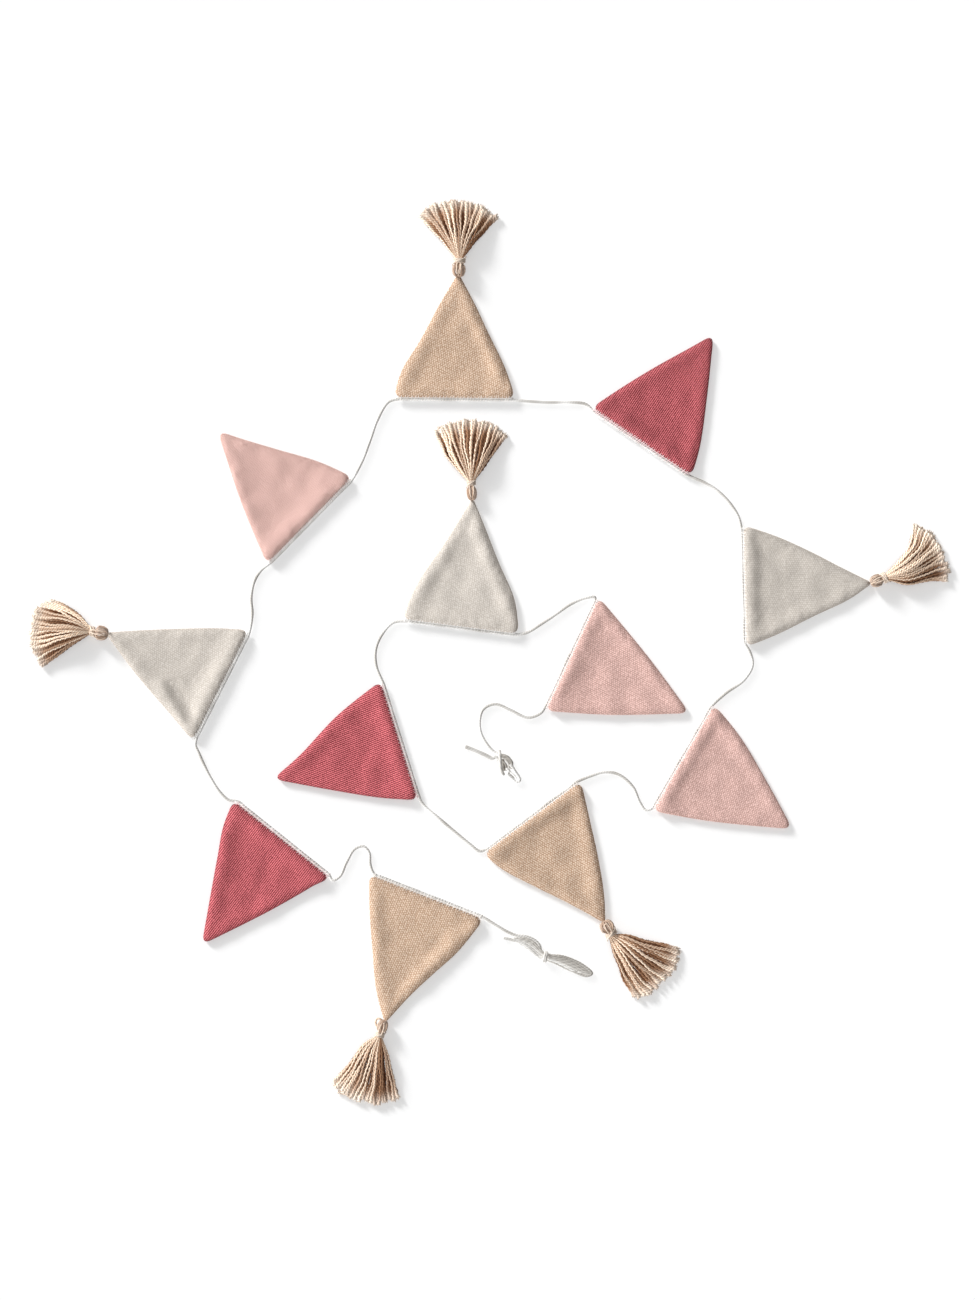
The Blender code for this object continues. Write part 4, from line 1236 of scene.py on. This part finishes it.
def stitch(row, share, thread):
    """One whip stitch: from the cloth, over the cord and down its far side. Each step is a distance inside
    the base line, and a height."""
    start, end, _ = corners(row)
    along = unit(end - start)
    half = CORD_DIAMETER / 2
    cord_at = half + CORD_ASIDE
    middle = half + CORD_GAP
    steps = (
        (0.0002, edge_height(0.0020) + BASE_RISE - 2 * thread),
        (-0.0003, edge_height(0.0015) + BASE_RISE + thread * 0.6),
        (-0.0010, edge_height(0.0008) + BASE_RISE * 0.6 + thread),
        (-cord_at + 0.0008, middle + half + thread * 1.2),
        (-cord_at - half * 0.8, middle + half * 0.5 + thread * 0.6),
        (-cord_at - half * 0.9, middle + half * 0.1),
    )
    origin = start + (end - start) * share
    leans = np.linspace(0, STITCH_LEAN, len(steps))
    return np.array([origin + along * lean - outward(row) * inside + height * UP
                     for lean, (inside, height) in zip(leans, steps)])


def seam_thread(row):
    """The thread that runs between a pennant's base and the cord, filling the groove."""
    start, end, _ = corners(row)
    share = np.linspace(*SEAM_ENDS, SEAM_POINTS)[:, None]
    wobble = SEAM_WOBBLE * np.sin(share * SEAM_WAVES)
    line = start + (end - start) * share + outward(row) * (BASE_OUT + wobble)
    return line + SEAM_THREAD_AT * UP


def stitches(row, material):
    """The stitches along a pennant's base, and the thread under them."""
    base = base_length(row)
    made = []
    for sewing in SEWINGS:
        if sewing.pennant != row.number:
            continue
        count = round((sewing.end - sewing.begin) * base / sewing.spacing)
        for i in range(count):
            share = sewing.begin + (sewing.end - sewing.begin) * (i + 0.5) / count
            share += STITCH_STRAY * sewing.spacing / base * sin(i * STITCH_WAVES[0] + row.number)
            path = stepped(through(stitch(row, share, sewing.thread), STITCH_PARTS), STITCH_STEP)
            tone = STITCH_TONE + (1 - STITCH_TONE) * sin(i * STITCH_WAVES[1])
            made.append(Strand(path, sewing.thread, tone))
    made.append(Strand(seam_thread(row), SEAM_THREAD, SEAM_TONE))
    return strand_piece(f"pennant_{row.number:02d}_stitches", made, material, CLOTHS[row.cloth].slot,
                        pitch=THREAD_PITCH, sides=THREAD_SIDES)


# ---- Tassels


def tassel_axes(row):
    """A tassel's directions: along it, and across it."""
    direction = unit(place(row.neck) - place(row.top))
    return direction, across(direction)


def winding(row, begin, along, out, turn, middle=0.0):
    """A line round a tassel's axis: how far along it, how far out at which turn, and how high the axis is."""
    direction, side = tassel_axes(row)
    high = middle + out * np.sin(turn) * LYING
    return begin + along[:, None] * direction + (out * np.cos(turn))[:, None] * side + high[:, None] * UP


def tassel_head(row, material):
    """Folded yarn between the pennant's tip and the binding: strands side by side in a barrel."""
    long = np.linalg.norm(place(row.neck) - place(row.top)) - BINDING_LENGTH / 2
    turn = np.linspace(*HEAD_TURN, HEAD_POINTS)
    into = eased(turn, HEAD_EASE, HEAD_TURN[1])
    along = long * HEAD_LONG * (1 - np.cos(turn)) / 2
    middle = (row.head + (row.bound - row.head) * into) * LYING
    barrel = np.maximum(row.head * np.sin(turn) ** HEAD_ROUND - HEAD_YARN * HEAD_SUNK, HEAD_LEAST)
    out = barrel + (row.bound - UNDER_BINDING - barrel) * into
    rng = np.random.default_rng(row.pennant)
    made = []
    for k in range(HEAD_STRANDS):
        angle = 2 * pi * (k + HEAD_STRAY * rng.random()) / HEAD_STRANDS
        swing = angle + HEAD_SWING * np.sin(turn * 2 + rng.random() * LATEST_PHASE)
        line = winding(row, place(row.top), along, out, swing, middle)
        line = np.vstack([line, line[-1] + tassel_axes(row)[0] * INTO_BINDING])
        tone = HEAD_TONES[k % 3] + HEAD_VARIES * rng.random()
        tip = HEAD_TIP[0] + HEAD_TIP[1] * rng.random()
        made.append(Strand(stepped(line, YARN_STEP), HEAD_YARN, tone, tip))
    node = f"tassel_{row.pennant:02d}_head"
    made += [folded(row), *drawn(node, YARN_STEP)]
    return strand_piece(f"{node}_yarn", made, material, "tassel_yarn", node,
                        pitch=HEAD_PITCH, sides=HEAD_SIDES)


def folded(row):
    """The bright strand that folds back on itself on top of a tassel's head."""
    direction, side = tassel_axes(row)
    long = np.linalg.norm(place(row.neck) - place(row.top))
    turn = np.linspace(-0.5, 1.5, FOLD_POINTS)[:, None] * pi
    share = np.clip(FOLD_AT + FOLD_SWING * np.sin(turn), *FOLD_ENDS)
    high = 2 * row.head * LYING - FOLD_SUNK - FOLD_BOW * (2 * share - 1) ** 2
    line = place(row.top) + share * long * direction + FOLD_HALF * np.cos(turn) * side + high * UP
    return Strand(stepped(line, YARN_STEP), FOLD_YARN, FOLD_TONE, FOLD_TIP)


def tassel_binding(row, material):
    """Yarn wound three times round the neck, and once aslant."""
    yarn_half = BINDING_LENGTH / WRAPS / 2
    begin = place(row.neck, row.bound * LYING) - tassel_axes(row)[0] * (BINDING_LENGTH / 2 - yarn_half)
    turn = np.linspace(-0.5 * pi, 2 * pi * (WRAPS - 0.5), WRAP_POINTS * WRAPS)
    along = (turn + 0.5 * pi) / (2 * pi) * (BINDING_LENGTH - 2 * yarn_half) / (WRAPS - 0.25)
    wound = winding(row, begin, along, row.bound - yarn_half * WRAP_SUNK, turn)
    along = np.linspace(*ASLANT_ALONG, ASLANT_POINTS) * BINDING_LENGTH
    turn = np.linspace(*ASLANT_TURN, ASLANT_POINTS)
    aslant = winding(row, begin, along, row.bound + ASLANT_OUT, turn)
    made = [Strand(stepped(wound, YARN_STEP), yarn_half * WRAP_WIDE, WRAP_TONE, WRAP_TIP),
            Strand(stepped(aslant, YARN_STEP), ASLANT_YARN, ASLANT_TONE, ASLANT_TIP)]
    node = f"tassel_{row.pennant:02d}_binding"
    return strand_piece(f"{node}_yarn", made, material, "tassel_yarn", node)


def fan_sides(row):
    """The left and right edges of a fan, from the binding outward."""
    direction, side = tassel_axes(row)
    neck = place(row.neck) + direction * BINDING_LENGTH / 2
    beside = side * (NECK_RADIUS - YARN_RADIUS)
    routes = [neck + beside, *map(place, row.left)], [neck - beside, *map(place, row.right)]
    return [spaced(through(route), SKIRT_POINTS) for route in routes]


def fan_line(sides, ends, u):
    """A strand's level line: at each of its points, u of the way from the fan's left edge to its right."""
    left, right = sides
    v = np.linspace(0, 1, len(left))[:, None]
    on_ends = np.stack([np.interp(u, np.linspace(0, 1, len(ends)), ends[:, k]) for k in range(3)], axis=1)
    u = u[:, None]
    on_neck = left[0] + (right[0] - left[0]) * u
    plain_line = on_neck + (left[-1] + (right[-1] - left[-1]) * u - on_neck) * v
    return left + (right - left) * u + on_neck + (on_ends - on_neck) * v - plain_line


def strand_height(u, layer, v):
    """How high a strand's middle lies: bundled at the neck, settling on the others at the ends."""
    spread = np.sqrt(np.maximum(0.0, 1 - (2 * u - 1) ** 2))
    neck = (BINDING_RADIUS + layer.neck * spread * (NECK_RADIUS - YARN_RADIUS)) * LYING
    end = YARN_RADIUS * layer.end
    dome = SKIRT_DOME * spread * np.sin(np.clip(v * DOME_SHIFT, 0, 1) * pi) * layer.dome
    return neck + (end - neck) * eased(v, *SETTLES) + dome


def frays(path, half_width, rng):
    """The fine ends that a strand opens into, side by side across its width."""
    ahead = unit(path[-1] - path[-4])
    side = across(ahead)
    found = []
    for k in range(FRAYS):
        aside = ((k + 0.5) / FRAYS * 2 - 1) * half_width + rng.uniform(-FRAY_STRAY, FRAY_STRAY)
        fan = rng.uniform(-FRAY_FAN, FRAY_FAN) + aside * FRAY_SPLAY
        length = rng.uniform(*FRAY_LENGTH)
        start = path[-1] - ahead * FRAY_INTO + side * aside
        way = unit(ahead + side * fan + rng.uniform(*FRAY_RISE) * UP)
        line = start + np.linspace(0, 1, len(FRAY_TAPER))[:, None] * way * length
        line[:, 2] = np.maximum(line[:, 2], FRAY_RADIUS + LEAST_CLEARANCE)
        radius = np.array(FRAY_TAPER) * FRAY_RADIUS
        found.append(Strand(line, radius, rng.uniform(*FRAY_TONE), rng.uniform(*FRAY_TIP)))
    return found


def crimped(path, v, rng):
    """A strand's line, crimped and swaying a little from side to side."""
    along = lengths_along(path)
    swing = CRIMP * np.sin(along * 2 * pi / CRIMP_LENGTH + rng.random() * LATEST_PHASE)
    swing += SWAY * np.sin(along * 2 * pi / SWAY_LENGTH + rng.random() * LATEST_PHASE) * v
    return path + (swing * eased(v, *CRIMPS))[:, None] * across(path[-1] - path[0])


def strand_tone(row, layer, u, v, rng):
    """How light a strand is: by its layer, with painted shade on the layers under the top one; by painted
    light and shade on its side, lighter towards the key lamp; by chance; and changing towards its end.
    """
    # Painted light and shade: lighter on the fan's side towards the key lamp, darker on the far side
    lit_side = (1 - 2 * u) * float(tassel_axes(row)[1] @ lamp_side(LAMPS[0]))
    tone = layer.tone + layer.varies * rng.random() + LIT_SIDE_PAINTED_TONE * lit_side * layer.frayed + row.tone
    return np.clip(tone + layer.gain * eased(v, *TONE_CHANGES), 0, 1)


def skirt_strand(row, layer, u, sides, ends, rng):
    """One strand from under the binding to its end, frayed or not."""
    v = np.linspace(0, 1, SKIRT_POINTS)
    wander = rng.uniform(-layer.wander, layer.wander, 3)
    route = u + wander[0] * (1 - v) + wander[1] * np.sin(v * pi) + wander[2] * np.sin(v * 2 * pi) * 0.6
    line = fan_line(sides, ends, np.clip(route, 0.0, 1.0))
    line[:, 2] = strand_height(u, layer, v) + rng.uniform(*layer.lift) * np.sin(v * pi)
    apart = np.linalg.norm(sides[0] - sides[1], axis=1) / layer.count
    line = np.vstack([line[0] - tassel_axes(row)[0] * INTO_BINDING, line])
    apart = np.concatenate([apart[:1], apart])
    keep = round(len(line) * rng.uniform(*layer.reach))
    share = lengths_along(line)
    share = share / share[keep - 1]
    path = stepped(line[:keep], layer.step)
    v = np.linspace(0, 1, len(path))
    half_width = np.interp(v, share, apart) * rng.uniform(*layer.width) * (1 + END_WIDER * v**3)
    path = crimped(path, v, rng)
    radius = YARN_RADIUS * (NECK_SHARE + (1 - NECK_SHARE) * eased(v, *WIDENS))
    wide = np.clip(half_width / radius, *STRAND_WIDE)
    tip = END_TIP * eased(v, *TIP_PALES) ** TIP_POWER
    made = Strand(path, radius, strand_tone(row, layer, u, v, rng), tip, wide)
    if not layer.frayed:
        return [made]
    return [made, *frays(path, radius[-1] * wide[-1] * FRAYS_SHARE, rng)]


def tassel_skirt(row, material):
    """The hanging yarn: a dark backing that closes the gaps, its darkness painted shade, and two layers of
    crimped strands whose ends fray.
    """
    rng = np.random.default_rng(100 + row.pennant)
    sides = fan_sides(row)
    hem = [place(p) for p in (row.left[-1], *row.ends, row.right[-1])]
    ends = spaced(through(hem), SKIRT_POINTS)
    made = []
    for layer in LAYERS:
        for k in range(layer.count):
            at = (k + 0.5 + rng.uniform(-layer.stray, layer.stray)) / layer.count
            made += skirt_strand(row, layer, 0.5 + SKIRT_SPREAD * (at - 0.5), sides, ends, rng)
    node = f"tassel_{row.pennant:02d}_skirt"
    return strand_piece(f"{node}_yarn", made, material, "tassel_yarn", node)


# ---- Everything


def main():
    """The camera and the cord come first, then each cloth's pennants with the stitches and tassels on them.
    """
    camera()
    cord_pieces = cords(yarn(CORD_YARN))
    light(cord_pieces)
    floor()
    tassel_yarn = yarn(TASSEL_YARN)
    sewn_on = {}
    for row in TASSELS:
        makers = (tassel_head, tassel_binding, tassel_skirt)
        sewn_on[row.pennant] = [make(row, tassel_yarn) for make in makers]
    for key, cloth in CLOTHS.items():
        woven = weave(cloth)
        thread = yarn(thread_for(cloth))
        for row in PENNANTS:
            if row.cloth == key:
                edge, area = outline(row)
                back(row, edge, area, woven)
                front(row, edge, area, woven, [stitches(row, thread), *sewn_on.get(row.number, [])])


main()
